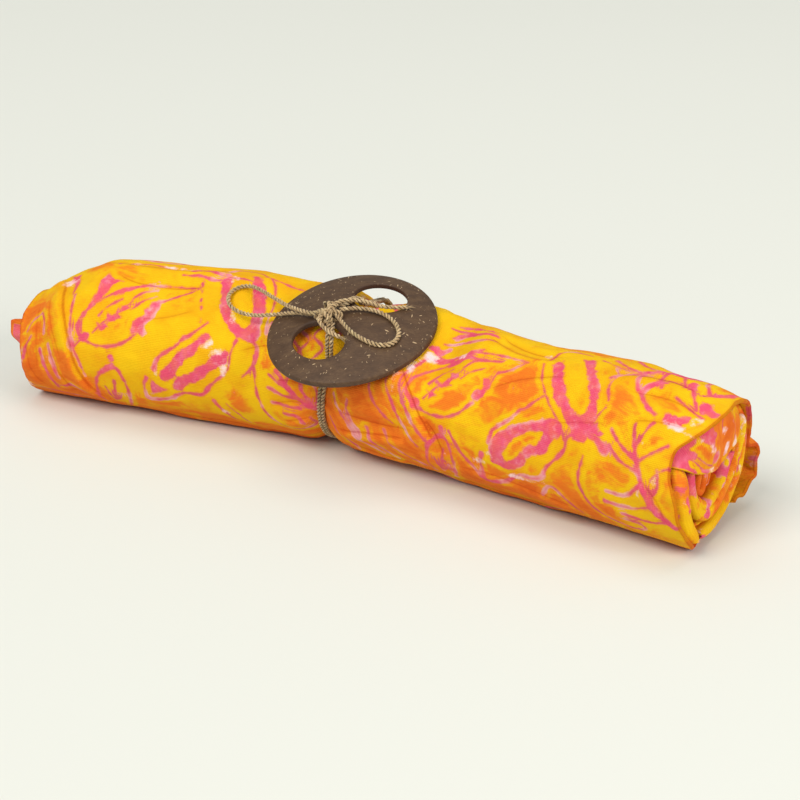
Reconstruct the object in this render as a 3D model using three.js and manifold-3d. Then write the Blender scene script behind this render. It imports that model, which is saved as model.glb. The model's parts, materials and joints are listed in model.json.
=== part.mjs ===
// A sarong folded in thirds, rolled up and tied round its middle with twine through a coconut shell buckle.
// Millimetres. +X runs along the roll, +Y to its back, +Z up. It lies on the plane z = 0.
import * as THREE from 'three';
import { mergeVertices } from 'three/addons/utils/BufferGeometryUtils.js';
import Module from 'manifold-3d';

const wasm = await Module();
wasm.setup();

// ---- The roll ----
const halfLength = 191; // from the middle to where each end of the outer turn is measured
const bendAt = -18; // the tie pulls the roll into a slight bend here
const bendSpan = 22;
const leftSlope = 0.143; // how each half runs, y against x
const rightSlope = -0.115;
const bendShift = 12.5; // y of the roll's line at the bend
const sag = 1.4; // how far the round section would sink, cut off flat where it rests
const clothWall = 2.4; // three folded layers, pressed together
const middle = { x: -1.55, y: 1.7 }; // of the box round the roll and its buckle

// Half width and height of the outer turn along the roll.
const sections = [
  { x: -191, width: 30.5, top: 53 },
  { x: -184, width: 33, top: 57.6 },
  { x: -176, width: 35, top: 63 },
  { x: -165, width: 36.8, top: 68.6 },
  { x: -152, width: 38, top: 74 },
  { x: -130, width: 38.6, top: 75.4 },
  { x: -108, width: 38.8, top: 75.6 },
  { x: -85, width: 39.2, top: 77.4 },
  { x: -60, width: 39.6, top: 77.8 },
  { x: -35, width: 39.7, top: 77 },
  { x: -5, width: 39.6, top: 77 },
  { x: 20, width: 39.2, top: 76.4 },
  { x: 50, width: 38.3, top: 74.6 },
  { x: 90, width: 37, top: 72.6 },
  { x: 120, width: 37.6, top: 74 },
  { x: 140, width: 38, top: 75 },
  { x: 162, width: 38.2, top: 75 },
  { x: 180, width: 38.2, top: 75.6 },
  { x: 191, width: 38, top: 75.4 },
];

// Where the twine pinches the cloth, by angle round the roll (0 back, 90 top, 180 front, 270 under).
const pinchLine = [
  { angle: -60, x: -18.5 },
  { angle: 0, x: -16 },
  { angle: 45, x: -9 },
  { angle: 90, x: -5.5 },
  { angle: 130, x: -5.5 },
  { angle: 155, x: -7 },
  { angle: 180, x: -10 },
  { angle: 225, x: -15 },
  { angle: 270, x: -18.5 },
  { angle: 315, x: -18.5 },
  { angle: 360, x: -16 },
  { angle: 420, x: -8 },
];
const pinchDepth = 4.3;
const pinchReach = 7.5;
const bulgeHeight = 1.1; // the cloth swells beside the pinch
const bulgeAway = 17;

// The largest soft folds of the outer turn: where, how long along and round the roll, and how high (below 0, a trough).
const folds = [
  { x: -150, angle: 165, long: 26, round: 17, height: -1.3, lean: -0.9 },
  { x: -168, angle: 140, long: 20, round: 15, height: 1.2, lean: -0.9 },
  { x: -96, angle: 118, long: 34, round: 12, height: -0.9, lean: 0.15 },
  { x: -52, angle: 150, long: 22, round: 10, height: -1.1, lean: 0.5 },
  { x: 34, angle: 156, long: 24, round: 14, height: 1.2, lean: -0.5 },
  { x: 36, angle: 212, long: 26, round: 24, height: 1.5, lean: 0 },
  { x: 62, angle: 120, long: 30, round: 10, height: -1.1, lean: -0.3 },
  { x: 112, angle: 168, long: 34, round: 13, height: -1.2, lean: 0.2 },
  { x: 150, angle: 125, long: 26, round: 14, height: 0.9, lean: 0.4 },
  { x: -70, angle: 40, long: 36, round: 14, height: -1.1, lean: -0.3 },
  { x: 28, angle: 30, long: 30, round: 12, height: -1.2, lean: 0.4 },
  { x: 120, angle: 50, long: 34, round: 13, height: -1.0, lean: 0.2 },
];

// The outer turn's free edge lies low on the back, over its own start, and hangs lower at the right end.
const lapEdge = -26;
const lapDrop = 21;
const lapEnd = 396;
const lapFrom = 292; // where the cloth starts to dip under its own edge
const lapUnder = 335;

// How far past the end of the roll the outer turn's edge stands, by angle.
const rightEdge = [
  { angle: -26, out: -2.5, droop: 0 },
  { angle: 0, out: -3, droop: 0 },
  { angle: 30, out: -0.5, droop: 1 },
  { angle: 55, out: 2.5, droop: 3 },
  { angle: 78, out: 4, droop: 4.5 },
  { angle: 100, out: 6, droop: 4.5 },
  { angle: 122, out: 4, droop: 3 },
  { angle: 136, out: -0.5, droop: 1 },
  { angle: 148, out: -5.5, droop: 0 },
  { angle: 166, out: -5.5, droop: 0 },
  { angle: 180, out: -2, droop: 0 },
  { angle: 205, out: 0, droop: 0 },
  { angle: 232, out: 1, droop: 0 },
  { angle: 252, out: -3.5, droop: 0 },
  { angle: 275, out: -7, droop: 0 },
  { angle: 315, out: -5, droop: 0 },
  { angle: 345, out: -3.5, droop: 0 },
  { angle: 396, out: -4, droop: 0 },
];
const leftEdge = [
  { angle: -26, out: 4, droop: 0 },
  { angle: 0, out: 1, droop: 0 },
  { angle: 60, out: 1, droop: 1 },
  { angle: 100, out: 2.5, droop: 0.5 },
  { angle: 132, out: 3, droop: 0.5 },
  { angle: 158, out: 0.5, droop: 0 },
  { angle: 180, out: -1, droop: 0 },
  { angle: 225, out: -0.5, droop: 0 },
  { angle: 290, out: 0, droop: 0 },
  { angle: 396, out: -3, droop: 0 },
];
// The free edge's corners stand off the roll at both ends.
const flares = [
  { x: 192, reach: 40, out: 13.5, from: 2, span: 15 },
  { x: -193, reach: 30, out: 5, from: 8, span: 30 },
];

// ---- The buckle: a shallow dish of coconut shell, its hollow side on the roll ----
const buckle = {
  centre: new THREE.Vector3(-1.4, -12.6, 75.4),
  up: new THREE.Vector3(0.053, -0.345, 0.937).normalize(),
  longDirection: 53.4, // degrees from +X, seen from above
  halfLong: 42.8,
  halfShort: 39.2,
  dishRadius: 138,
  thickness: 3.4,
};
const pressEdge = 1.08; // how far the buckle's press on the cloth reaches, over the buckle's own outline
const pressReach = 1.7;
const holeSink = 2.4;
const buckleHoles = [
  { along: -18.9, across: -4.3, halfLong: 14.3, halfShort: 11.4, turn: 116 },
  { along: 19.6, across: 9, halfLong: 14, halfShort: 11.7, turn: 124 },
];

// ---- The twine ----
const twineWidth = 2;
const twineSpacing = 2.3;
const twineLift = 0.4;

const radians = (degrees) => (degrees * Math.PI) / 180;
const clamp01 = (value) => Math.min(1, Math.max(0, value));
const ease = (value) => { const t = clamp01(value); return t * t * (3 - 2 * t); };
const bell = (value) => Math.exp(-value * value);

// Smooth reading of a table by one of its columns.
function read(table, key, column, at) {
  let i = table.findIndex((row) => row[key] > at);
  if (i === 0) return table[0][column];
  if (i < 0) return table[table.length - 1][column];
  const rows = [table[Math.max(i - 2, 0)], table[i - 1], table[i], table[Math.min(i + 1, table.length - 1)]];
  const [a, b, c, d] = rows.map((row) => row[column]);
  const [ka, kb, kc, kd] = rows.map((row) => row[key]);
  const span = kc - kb;
  const slopeB = ka === kb ? (c - b) / span : (c - a) / (kc - ka);
  const slopeC = kc === kd ? (c - b) / span : (d - b) / (kd - kb);
  const t = (at - kb) / span;
  const t2 = t * t;
  const t3 = t2 * t;
  return (2 * t3 - 3 * t2 + 1) * b + (t3 - 2 * t2 + t) * slopeB * span
    + (-2 * t3 + 3 * t2) * c + (t3 - t2) * slopeC * span;
}

// The roll's line: two straight halves with a soft bend at the tie.
function lineY(x) {
  const d = x - bendAt;
  const bend = Math.sqrt(d * d + bendSpan * bendSpan) - bendSpan;
  return bendShift + ((leftSlope + rightSlope) / 2) * d - ((leftSlope - rightSlope) / 2) * bend;
}
function lineTurn(x) {
  return Math.atan((lineY(x + 1) - lineY(x - 1)) / 2);
}

// The buckle's own axes, and points on its upper face.
const longAxis = new THREE.Vector3(Math.cos(radians(buckle.longDirection)), Math.sin(radians(buckle.longDirection)), 0);
longAxis.addScaledVector(buckle.up, -longAxis.dot(buckle.up)).normalize();
const shortAxis = new THREE.Vector3().crossVectors(buckle.up, longAxis);
function onBuckle(along, across, height) {
  const drop = (along * along + across * across) / (2 * buckle.dishRadius);
  return buckle.centre.clone().addScaledVector(longAxis, along).addScaledVector(shortAxis, across)
    .addScaledVector(buckle.up, height - drop);
}

// 1 under the middle of a hole, falling to 0 past its rim.
function underHole(along, across) {
  let share = 0;
  for (const hole of buckleHoles) {
    const [c, s] = [Math.cos(radians(hole.turn)), Math.sin(radians(hole.turn))];
    const [p, q] = [along - hole.along, across - hole.across];
    const out = Math.hypot((p * c + q * s) / hole.halfLong, (q * c - p * s) / hole.halfShort);
    share = Math.max(share, ease((1.2 - out) / 0.5));
  }
  return share;
}

// The buckle presses the cloth below it down, clear of its hollow side, and the cloth sinks a little under its holes.
function pressed(point) {
  const q = point.clone().sub(buckle.centre);
  const along = q.dot(longAxis);
  const across = q.dot(shortAxis);
  const height = q.dot(buckle.up);
  const out = Math.hypot(along / buckle.halfLong, across / buckle.halfShort);
  if (out > pressReach) return point;
  const under = -(along * along + across * across) / (2 * buckle.dishRadius) - buckle.thickness - 0.6
    - holeSink * underHole(along, across);
  const over = height - under;
  const soft = over > 3 ? over : over < -3 ? 0 : ((over + 3) * (over + 3)) / 12;
  return point.clone().addScaledVector(buckle.up, -soft * (1 - ease((out - pressEdge) / (pressReach - pressEdge))));
}

function pinchAt(angle) {
  return read(pinchLine, 'angle', 'x', ((angle + 780) % 360) - 60);
}

// A point of the outer turn's outer face. The angle is in degrees, 0 at the back and 90 on top.
function outerPoint(x, angle, inset = 0) {
  const width = read(sections, 'x', 'width', x);
  const top = read(sections, 'x', 'top', x);
  const rise = (top + sag) / 2;
  const d = x - pinchAt(angle);
  let grow = -pinchDepth * bell(d / pinchReach)
    + bulgeHeight * (bell((d - bulgeAway) / 10) + 0.7 * bell((d + bulgeAway) / 10));
  for (const fold of folds) {
    const round = angle - fold.angle - fold.lean * (x - fold.x);
    grow += fold.height * bell((x - fold.x) / fold.long) * bell(round / fold.round);
  }
  for (const flare of flares) {
    const near = ease(1 - Math.abs(flare.x - x) / flare.reach);
    grow += flare.out * near * ease((flare.from - angle) / flare.span) * (1 - 0.8 * ease((lapEdge - angle) / lapDrop));
  }
  const a = radians(angle);
  const turn = lineTurn(x);
  const side = (width + grow - inset) * Math.cos(a);
  const z = Math.max(top - rise + (rise + grow - inset) * Math.sin(a), 0);
  return pressed(new THREE.Vector3(x - Math.sin(turn) * side, lineY(x) + Math.cos(turn) * side, z));
}

// How far the outer turn dips inside its own lap.
function lapDip(angle) {
  return (clothWall + 0.45) * ease((angle - lapFrom) / (lapUnder - lapFrom));
}

// The outward direction of a face given as a function of (x, angle).
function outward(face, x, angle) {
  const alongX = face(x + 0.6, angle).sub(face(x - 0.6, angle));
  const round = face(x, angle + 1.2).sub(face(x, angle - 1.2));
  return new THREE.Vector3().crossVectors(round, alongX).normalize();
}

// A closed body from vertices and triangles.
function body(points, triangles) {
  const geometry = new THREE.BufferGeometry();
  geometry.setAttribute('position', new THREE.Float32BufferAttribute(points.flatMap((p) => [p.x, p.y, p.z]), 3));
  geometry.setIndex(triangles);
  return geometry;
}

// Two grids of points, the outer and the inner face of a wall, closed round their four sides.
function wall(outer, inner) {
  const rows = outer.length;
  const columns = outer[0].length;
  const points = [...outer.flat(), ...inner.flat()];
  const triangles = [];
  const quad = (a, b, c, d) => triangles.push(a, b, c, a, c, d);
  const at = (face, i, j) => face * rows * columns + i * columns + j;
  for (let i = 0; i + 1 < rows; i += 1) {
    for (let j = 0; j + 1 < columns; j += 1) {
      quad(at(0, i, j), at(0, i + 1, j), at(0, i + 1, j + 1), at(0, i, j + 1));
      quad(at(1, i, j), at(1, i, j + 1), at(1, i + 1, j + 1), at(1, i + 1, j));
    }
    quad(at(0, i, 0), at(1, i, 0), at(1, i + 1, 0), at(0, i + 1, 0));
    quad(at(0, i, columns - 1), at(0, i + 1, columns - 1), at(1, i + 1, columns - 1), at(1, i, columns - 1));
  }
  for (let j = 0; j + 1 < columns; j += 1) {
    quad(at(0, 0, j), at(0, 0, j + 1), at(1, 0, j + 1), at(1, 0, j));
    quad(at(0, rows - 1, j), at(1, rows - 1, j), at(1, rows - 1, j + 1), at(0, rows - 1, j + 1));
  }
  return body(points, triangles);
}

// Rings of points skinned into a closed body, its two ends fanned from their middles.
function skin(rings) {
  const count = rings[0].length;
  const points = rings.flat();
  const triangles = [];
  for (let i = 0; i + 1 < rings.length; i += 1) {
    for (let j = 0; j < count; j += 1) {
      const k = (j + 1) % count;
      const [a, b] = [i * count + j, i * count + k];
      triangles.push(a, a + count, b + count, a, b + count, b);
    }
  }
  for (const [ring, first] of [[rings[0], true], [rings[rings.length - 1], false]]) {
    const middle = points.length;
    points.push(ring.reduce((sum, p) => sum.add(p), new THREE.Vector3()).multiplyScalar(1 / count));
    const start = first ? 0 : (rings.length - 1) * count;
    for (let j = 0; j < count; j += 1) {
      const k = (j + 1) % count;
      if (first) triangles.push(middle, start + j, start + k);
      else triangles.push(middle, start + k, start + j);
    }
  }
  return body(points, triangles);
}

function volume(geometry) {
  const p = geometry.attributes.position;
  const index = geometry.index.array;
  let sum = 0;
  const [a, b, c] = [new THREE.Vector3(), new THREE.Vector3(), new THREE.Vector3()];
  for (let i = 0; i < index.length; i += 3) {
    a.fromBufferAttribute(p, index[i]);
    b.fromBufferAttribute(p, index[i + 1]);
    c.fromBufferAttribute(p, index[i + 2]);
    sum += a.dot(b.cross(c)) / 6;
  }
  return sum;
}
function facingOut(geometry) {
  if (volume(geometry) < 0) {
    const index = geometry.index.array;
    for (let i = 0; i < index.length; i += 3) [index[i], index[i + 1]] = [index[i + 1], index[i]];
  }
  return geometry;
}

function toManifold(geometry) {
  const plain = geometry.clone();
  plain.deleteAttribute('normal');
  plain.deleteAttribute('uv');
  const merged = facingOut(mergeVertices(plain, 1e-4));
  return new wasm.Manifold(new wasm.Mesh({
    numProp: 3,
    vertProperties: new Float32Array(merged.attributes.position.array),
    triVerts: new Uint32Array(merged.index.array),
  }));
}
function fromManifold(solid) {
  const mesh = solid.getMesh();
  const geometry = new THREE.BufferGeometry();
  geometry.setAttribute('position', new THREE.Float32BufferAttribute(mesh.vertProperties, 3));
  geometry.setIndex(Array.from(mesh.triVerts));
  return geometry;
}

// ---- Outer turn ----
const stations = [-191, -184, -175, -162, -144, -120, -94, -70, -52, -40, -31, -25, -20.5, -17.5, -14.5, -12,
  -9.5, -6.5, -3, 2, 9, 18, 30, 46, 66, 92, 120, 146, 166, 181, 191];
const tieStation = -12;
const roundSteps = 38;

// Stations near the tie follow the pinch round the roll. Those near an end follow the edge's table and its droop.
function alongPinch(x, angle) {
  return x + (pinchAt(angle) - tieStation) * bell((x - tieStation) / 30);
}
function stretched(x, angle) {
  const right = ease((x - 158) / 33);
  const left = ease((-x - 158) / 33);
  const out = right * read(rightEdge, 'angle', 'out', angle) - left * read(leftEdge, 'angle', 'out', angle);
  const droop = right ** 3 * read(rightEdge, 'angle', 'droop', angle)
    + left ** 3 * read(leftEdge, 'angle', 'droop', angle);
  return { x: alongPinch(x, angle) + out, droop };
}
function outerFace(x, angle) {
  const at = stretched(x, angle);
  return outerPoint(at.x, angle, lapDip(angle) + at.droop);
}
function outerTurn() {
  const outer = [];
  const inner = [];
  for (const x of stations) {
    const outerRow = [];
    const innerRow = [];
    const first = lapEdge - lapDrop * ease((x - 148) / 38);
    for (let j = 0; j <= roundSteps; j += 1) {
      const angle = first + ((lapEnd - first) * j) / roundSteps;
      const p = outerFace(x, angle);
      outerRow.push(p);
      innerRow.push(p.clone().addScaledVector(outward(outerFace, x, angle), -clothWall));
    }
    outer.push(outerRow);
    inner.push(innerRow);
  }
  return wall(outer, inner);
}

// ---- Inner turns: one rounded solid, with the rolled layers at both ends ----
const endDepth = 17; // how deep the gaps between the layers run
const layerWidth = 5; // one folded layer seen at the end
const tuckDepth = 6.2; // how far the layers behind the tucked corner stand back
const cornerReach = 13; // one fold's corner sticks out of the left end
// The roll's inner turns: angle as they wind inwards, and distance from the roll's line over its half width.
const winding = [
  { angle: 52, reach: 0.79 },
  { angle: 90, reach: 0.8 },
  { angle: 135, reach: 0.815 },
  { angle: 180, reach: 0.8 },
  { angle: 225, reach: 0.8 },
  { angle: 270, reach: 0.785 },
  { angle: 315, reach: 0.755 },
  { angle: 360, reach: 0.72 },
  { angle: 405, reach: 0.665 },
  { angle: 450, reach: 0.59 },
  { angle: 495, reach: 0.51 },
  { angle: 540, reach: 0.475 },
  { angle: 585, reach: 0.49 },
  { angle: 630, reach: 0.535 },
  { angle: 675, reach: 0.52 },
  { angle: 720, reach: 0.47 },
  { angle: 765, reach: 0.39 },
  { angle: 810, reach: 0.31 },
  { angle: 855, reach: 0.26 },
  { angle: 900, reach: 0.235 },
  { angle: 990, reach: 0.225 },
  { angle: 1060, reach: 0.19 },
];

function coreInset(angle) {
  const a = ((angle % 360) + 360) % 360;
  const under = a > 180 ? ease((a - 285) / 40) : ease((58 - a) / 16);
  return clothWall + 1.1 + (clothWall + 0.45) * under;
}
function coreFace(x, angle) {
  const face = (xx, aa) => outerPoint(alongPinch(xx, aa), aa, 0);
  return face(x, angle).addScaledVector(outward(face, x, angle), -coreInset(angle));
}
function sectionPoint(x, reach, angle) {
  const width = read(sections, 'x', 'width', x);
  const top = read(sections, 'x', 'top', x);
  const turn = lineTurn(x);
  const side = reach * width * Math.cos(radians(angle));
  return new THREE.Vector3(x - Math.sin(turn) * side, lineY(x) + Math.cos(turn) * side,
    (top - sag / 2) / 2 + reach * ((top + sag) / 2) * Math.sin(radians(angle)));
}
function layers(end) {
  const first = winding[0].angle;
  const last = winding[winding.length - 1].angle;
  const steps = 60;
  const depths = [
    { back: endDepth + 5, half: 0.5 },
    { back: 2.2, half: 0.5 },
    { back: 0, half: 0.2 },
  ];
  const rings = depths.map(({ back, half }) => {
    const ring = [];
    for (const side of [1, -1]) {
      for (let j = 0; j <= steps; j += 1) {
        const t = side > 0 ? j / steps : 1 - j / steps;
        const angle = first + (last - first) * t;
        const middle = read(winding, 'angle', 'reach', angle) * (end > 0 ? 1 : 0.9);
        const hidden = end > 0 ? ease((182 - (angle % 360)) / 26) * ease(((angle % 360) - 20) / 40) : 0;
        const corner = end < 0 ? cornerReach * bell((angle - 158) / 24) : 0;
        const shift = corner - tuckDepth * hidden - 1.2 * Math.sin(radians(angle * 0.7));
        const x = end * (halfLength - 2.5 + shift - back);
        const width = read(sections, 'x', 'width', x);
        ring.push(sectionPoint(x, middle + (side * half * layerWidth) / width, angle));
      }
    }
    return ring;
  });
  return ringsToManifold(rings, steps);
}
// A long thin band's ends are closed by strips between its two sides, not fanned.
function ringsToManifold(rings, steps) {
  const count = rings[0].length;
  const points = rings.flat();
  const triangles = [];
  for (let i = 0; i + 1 < rings.length; i += 1) {
    for (let j = 0; j < count; j += 1) {
      const k = (j + 1) % count;
      triangles.push(i * count + j, (i + 1) * count + j, (i + 1) * count + k);
      triangles.push(i * count + j, (i + 1) * count + k, i * count + k);
    }
  }
  const last = (rings.length - 1) * count;
  for (let j = 0; j < steps; j += 1) {
    const [a, b, c, d] = [j, j + 1, count - 2 - j, count - 1 - j];
    triangles.push(a, b, c, a, c, d);
    triangles.push(last + a, last + c, last + b, last + a, last + d, last + c);
  }
  return toManifold(body(points, triangles));
}
function innerTurns() {
  const inside = [-171, ...stations.filter((x) => x > -165 && x < 165), 171];
  const rings = inside.map((x) => {
    const ring = [];
    for (let j = 0; j < 30; j += 1) ring.push(coreFace(x, 60 + j * 12));
    return ring;
  });
  const core = toManifold(skin(rings));
  return fromManifold(core.add(layers(1)).add(layers(-1)));
}

// ---- Tucked corner: the fold of cloth that hangs over the upper part of the right end ----
// Its top follows the outer turn, its lower edge these points across the end (y and z from the roll's line).
const tuckEdge = [
  { angle: 160, y: -27, z: 9, out: -1 },
  { angle: 140, y: -19, z: 4.5, out: 0 },
  { angle: 118, y: -9, z: 1.5, out: 1 },
  { angle: 96, y: 0, z: 2.5, out: 1.5 },
  { angle: 76, y: 9, z: 7.5, out: 1.5 },
  { angle: 58, y: 17, z: 13, out: 1.5 },
];
function tuckedCorner() {
  const rows = 14;
  const columns = 7;
  const edge = halfLength;
  const front = [];
  const back = [];
  const face = (u, v) => {
    const angle = 160 - 102 * u;
    const t = ease(v * 1.02) * 0.35 + v * 0.65;
    const at = stretched(halfLength, angle);
    const rim = outerPoint(at.x, angle, at.droop + clothWall + 0.75);
    rim.x = Math.min(rim.x, at.x) - 2.2;
    const turn = lineTurn(edge);
    const y = read([...tuckEdge].reverse(), 'angle', 'y', angle);
    const z = read([...tuckEdge].reverse(), 'angle', 'z', angle);
    const out = read([...tuckEdge].reverse(), 'angle', 'out', angle);
    const low = new THREE.Vector3(edge + out - Math.sin(turn) * y, lineY(edge) + Math.cos(turn) * y, 37.5 + z);
    const p = rim.lerp(low, t);
    p.x += 2 * Math.sin(Math.PI * v);
    return p;
  };
  for (let i = 0; i <= rows; i += 1) {
    const frontRow = [];
    const backRow = [];
    for (let j = 0; j <= columns; j += 1) {
      const p = face(i / rows, j / columns);
      frontRow.push(p);
      backRow.push(p.clone().add(new THREE.Vector3(-clothWall, 0, 0)));
    }
    front.push(frontRow);
    back.push(backRow);
  }
  return wall(front, back);
}

// ---- Buckle ----
function oval(halfLong, halfShort, turn, along, across, count) {
  return Array.from({ length: count }, (_, i) => {
    const a = (2 * Math.PI * i) / count;
    const [p, q] = [halfLong * Math.cos(a), halfShort * Math.sin(a)];
    const [c, s] = [Math.cos(radians(turn)), Math.sin(radians(turn))];
    return [along + p * c - q * s, across + p * s + q * c];
  });
}
function shellBuckle() {
  const count = 44;
  const rings = [];
  const ring = (share, height) => oval(buckle.halfLong * share, buckle.halfShort * share, 0, 0, 0, count)
    .map(([along, across]) => onBuckle(along, across, height));
  const low = -buckle.thickness;
  const profile = [
    [0.25, low], [0.5, low], [0.75, low], [0.975, low], [1, low + 0.9], [1, -0.9], [0.975, 0], [0.75, 0], [0.5, 0],
    [0.25, 0],
  ];
  for (const [share, height] of profile) rings.push(ring(share, height));
  let solid = toManifold(skin(rings));
  for (const hole of buckleHoles) {
    const outline = oval(hole.halfLong, hole.halfShort, hole.turn, hole.along, hole.across, 28);
    const cutter = [-14, 8].map((height) => outline.map(([along, across]) => buckle.centre.clone()
      .addScaledVector(longAxis, along).addScaledVector(shortAxis, across).addScaledVector(buckle.up, height)));
    solid = solid.subtract(toManifold(skin(cutter)));
  }
  return fromManifold(solid);
}

// ---- Twine ----
class Path extends THREE.Curve {
  constructor(points) {
    super();
    this.inner = new THREE.CatmullRomCurve3(points, false, 'centripetal');
  }

  getPoint(t, target = new THREE.Vector3()) {
    return target.copy(this.inner.getPointAt(clamp01(t)));
  }
}
function cord(points, steps, width = twineWidth) {
  const section = new THREE.Shape(Array.from({ length: 8 }, (_, i) => {
    const a = radians(i * 45 + 22.5);
    return new THREE.Vector2((width / 2) * Math.cos(a), (width / 2) * Math.sin(a));
  }));
  const geometry = new THREE.ExtrudeGeometry(section, { steps, extrudePath: new Path(points), curveSegments: 1 });
  return geometry;
}

// One run round the roll, from where it leaves the front hole, under the roll and up its back.
function roundTheRoll(shift) {
  const face = (x, angle) => outerPoint(x, angle, 0);
  const middle = (angle) => {
    const x = pinchAt(angle);
    return { place: face(x, angle), away: outward(face, x, angle) };
  };
  const points = [];
  for (let angle = 156; angle <= 360 + 84; angle += 6) {
    const { place: on, away } = middle(angle);
    const along = middle(angle + 2).place.sub(middle(angle - 2).place).normalize();
    const aside = new THREE.Vector3().crossVectors(along, away);
    if (aside.x < 0) aside.negate();
    points.push(on.addScaledVector(away, twineWidth / 2 + twineLift).addScaledVector(aside, shift));
  }
  return points;
}

// Places on and over the buckle: along and across it, and height over its upper face.
const knotPlace = { along: -8.4, across: 7.4, height: 3.1 };
const frontRise = [
  { along: -9.4, across: 1.2, height: 1.6 },
  { along: -12.2, across: -3.6, height: 0.2 },
  { along: -14.6, across: -6.6, height: -4.2 },
];
const backFall = [
  { along: 11.4, across: 11.6, height: -3.4 },
  { along: 9.6, across: 12, height: 0.6 },
  { along: 5.2, across: 11.2, height: 1.5 },
  { along: -2.4, across: 9.4, height: 1.9 },
];
const place = (row, lift = 0) => onBuckle(row.along, row.across, row.height + lift);

function twineRun(side) {
  const shift = (side * twineSpacing) / 2;
  const aside = new THREE.Vector3(1, 0.1, 0).multiplyScalar(shift);
  const start = frontRise.map((row) => place(row).add(aside));
  const finish = backFall.map((row) => place(row).add(aside));
  return cord([...start, ...roundTheRoll(shift), ...finish], 66);
}

function knot() {
  const centre = place(knotPlace);
  const geometry = new THREE.IcosahedronGeometry(1, 2);
  geometry.scale(5, 4.2, 2.9);
  const toBuckle = new THREE.Matrix4().makeBasis(longAxis, shortAxis, buckle.up).setPosition(centre);
  geometry.applyMatrix4(toBuckle);
  return geometry;
}

// The bow. Both loops start and end beside the knot; the left one hangs over the roll.
const leftLoop = [
  { x: -18.4, y: -14.6, z: 78.4 },
  { x: -33, y: -7, z: 79.2 },
  { x: -46, y: -1.2, z: 80.2 },
  { x: -58, y: 1.5, z: 79.8 },
  { x: -67, y: -2.5, z: 78.2 },
  { x: -71.5, y: -11, z: 75.6 },
  { x: -70, y: -18, z: 73 },
  { x: -62, y: -21.5, z: 70.6 },
  { x: -50, y: -20.6, z: 70.8 },
  { x: -38, y: -18.6, z: 72.6 },
  { x: -27, y: -17.4, z: 75.2 },
  { x: -18.6, y: -17.6, z: 76.6 },
];
const rightLoop = [
  { along: -3.2, across: 5.4, height: 3.2 },
  { along: 3.5, across: 2.6, height: 2.8 },
  { along: 10.3, across: -1.8, height: 2 },
  { along: 15.3, across: -8, height: 1.5 },
  { along: 17.4, across: -16.1, height: 1.4 },
  { along: 16, across: -23.4, height: 1.4 },
  { along: 11.8, across: -27.2, height: 1.4 },
  { along: 6.2, across: -27.4, height: 1.4 },
  { along: 1, across: -24.4, height: 1.4 },
  { along: -2.8, across: -18.2, height: 1.5 },
  { along: -5.6, across: -10.4, height: 1.9 },
  { along: -6.6, across: -2, height: 2.6 },
  { along: -7.4, across: 1.6, height: 3.2 },
];
const longEnd = [
  { along: -4.4, across: 11, height: 4.4 },
  { along: 2, across: 9.2, height: 5 },
  { along: 9, across: 5, height: 4.2 },
  { along: 16, across: -0.4, height: 1.6 },
  { along: 22.6, across: -3.4, height: 1.3 },
  { along: 28.4, across: -5.4, height: 1.3 },
];
const shortEnd = [
  { along: -12.2, across: 4, height: 4.6 },
  { along: -11.6, across: -1.2, height: 4.4 },
  { along: -10.4, across: -6.6, height: 2.8 },
  { along: -9.6, across: -10.8, height: 1.3 },
];

// ---- The part ----
const colours = { cloth: '#eea61c', shell: '#64513f', twine: '#b39a6f' };
const part = new THREE.Group();
function add(name, geometry, kind, roughness) {
  const material = new THREE.MeshStandardMaterial({ color: colours[kind], roughness, metalness: 0 });
  const plain = geometry.clone();
  plain.deleteAttribute('normal');
  plain.deleteAttribute('uv');
  const mesh = new THREE.Mesh(facingOut(mergeVertices(plain, 1e-4)), material);
  mesh.name = name;
  part.add(mesh);
}
add('outer_turn', outerTurn(), 'cloth', 0.85);
add('inner_turns', innerTurns(), 'cloth', 0.85);
add('tucked_corner', tuckedCorner(), 'cloth', 0.85);
add('coconut_buckle', shellBuckle(), 'shell', 0.6);
add('twine_run_left', twineRun(-1), 'twine', 0.9);
add('twine_run_right', twineRun(1), 'twine', 0.9);
add('twine_knot', knot(), 'twine', 0.9);
add('bow_loop_left', cord(leftLoop.map((p) => new THREE.Vector3(p.x, p.y, p.z)), 40), 'twine', 0.9);
add('bow_loop_right', cord(rightLoop.map((row) => place(row)), 36), 'twine', 0.9);
add('twine_end_long', cord(longEnd.map((row) => place(row)), 14), 'twine', 0.9);
add('twine_end_short', cord(shortEnd.map((row) => place(row)), 8), 'twine', 0.9);

// The origin is the middle of the underside of the box round the roll and its buckle.
part.position.set(-middle.x, -middle.y, 0);

export default part;
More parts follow.
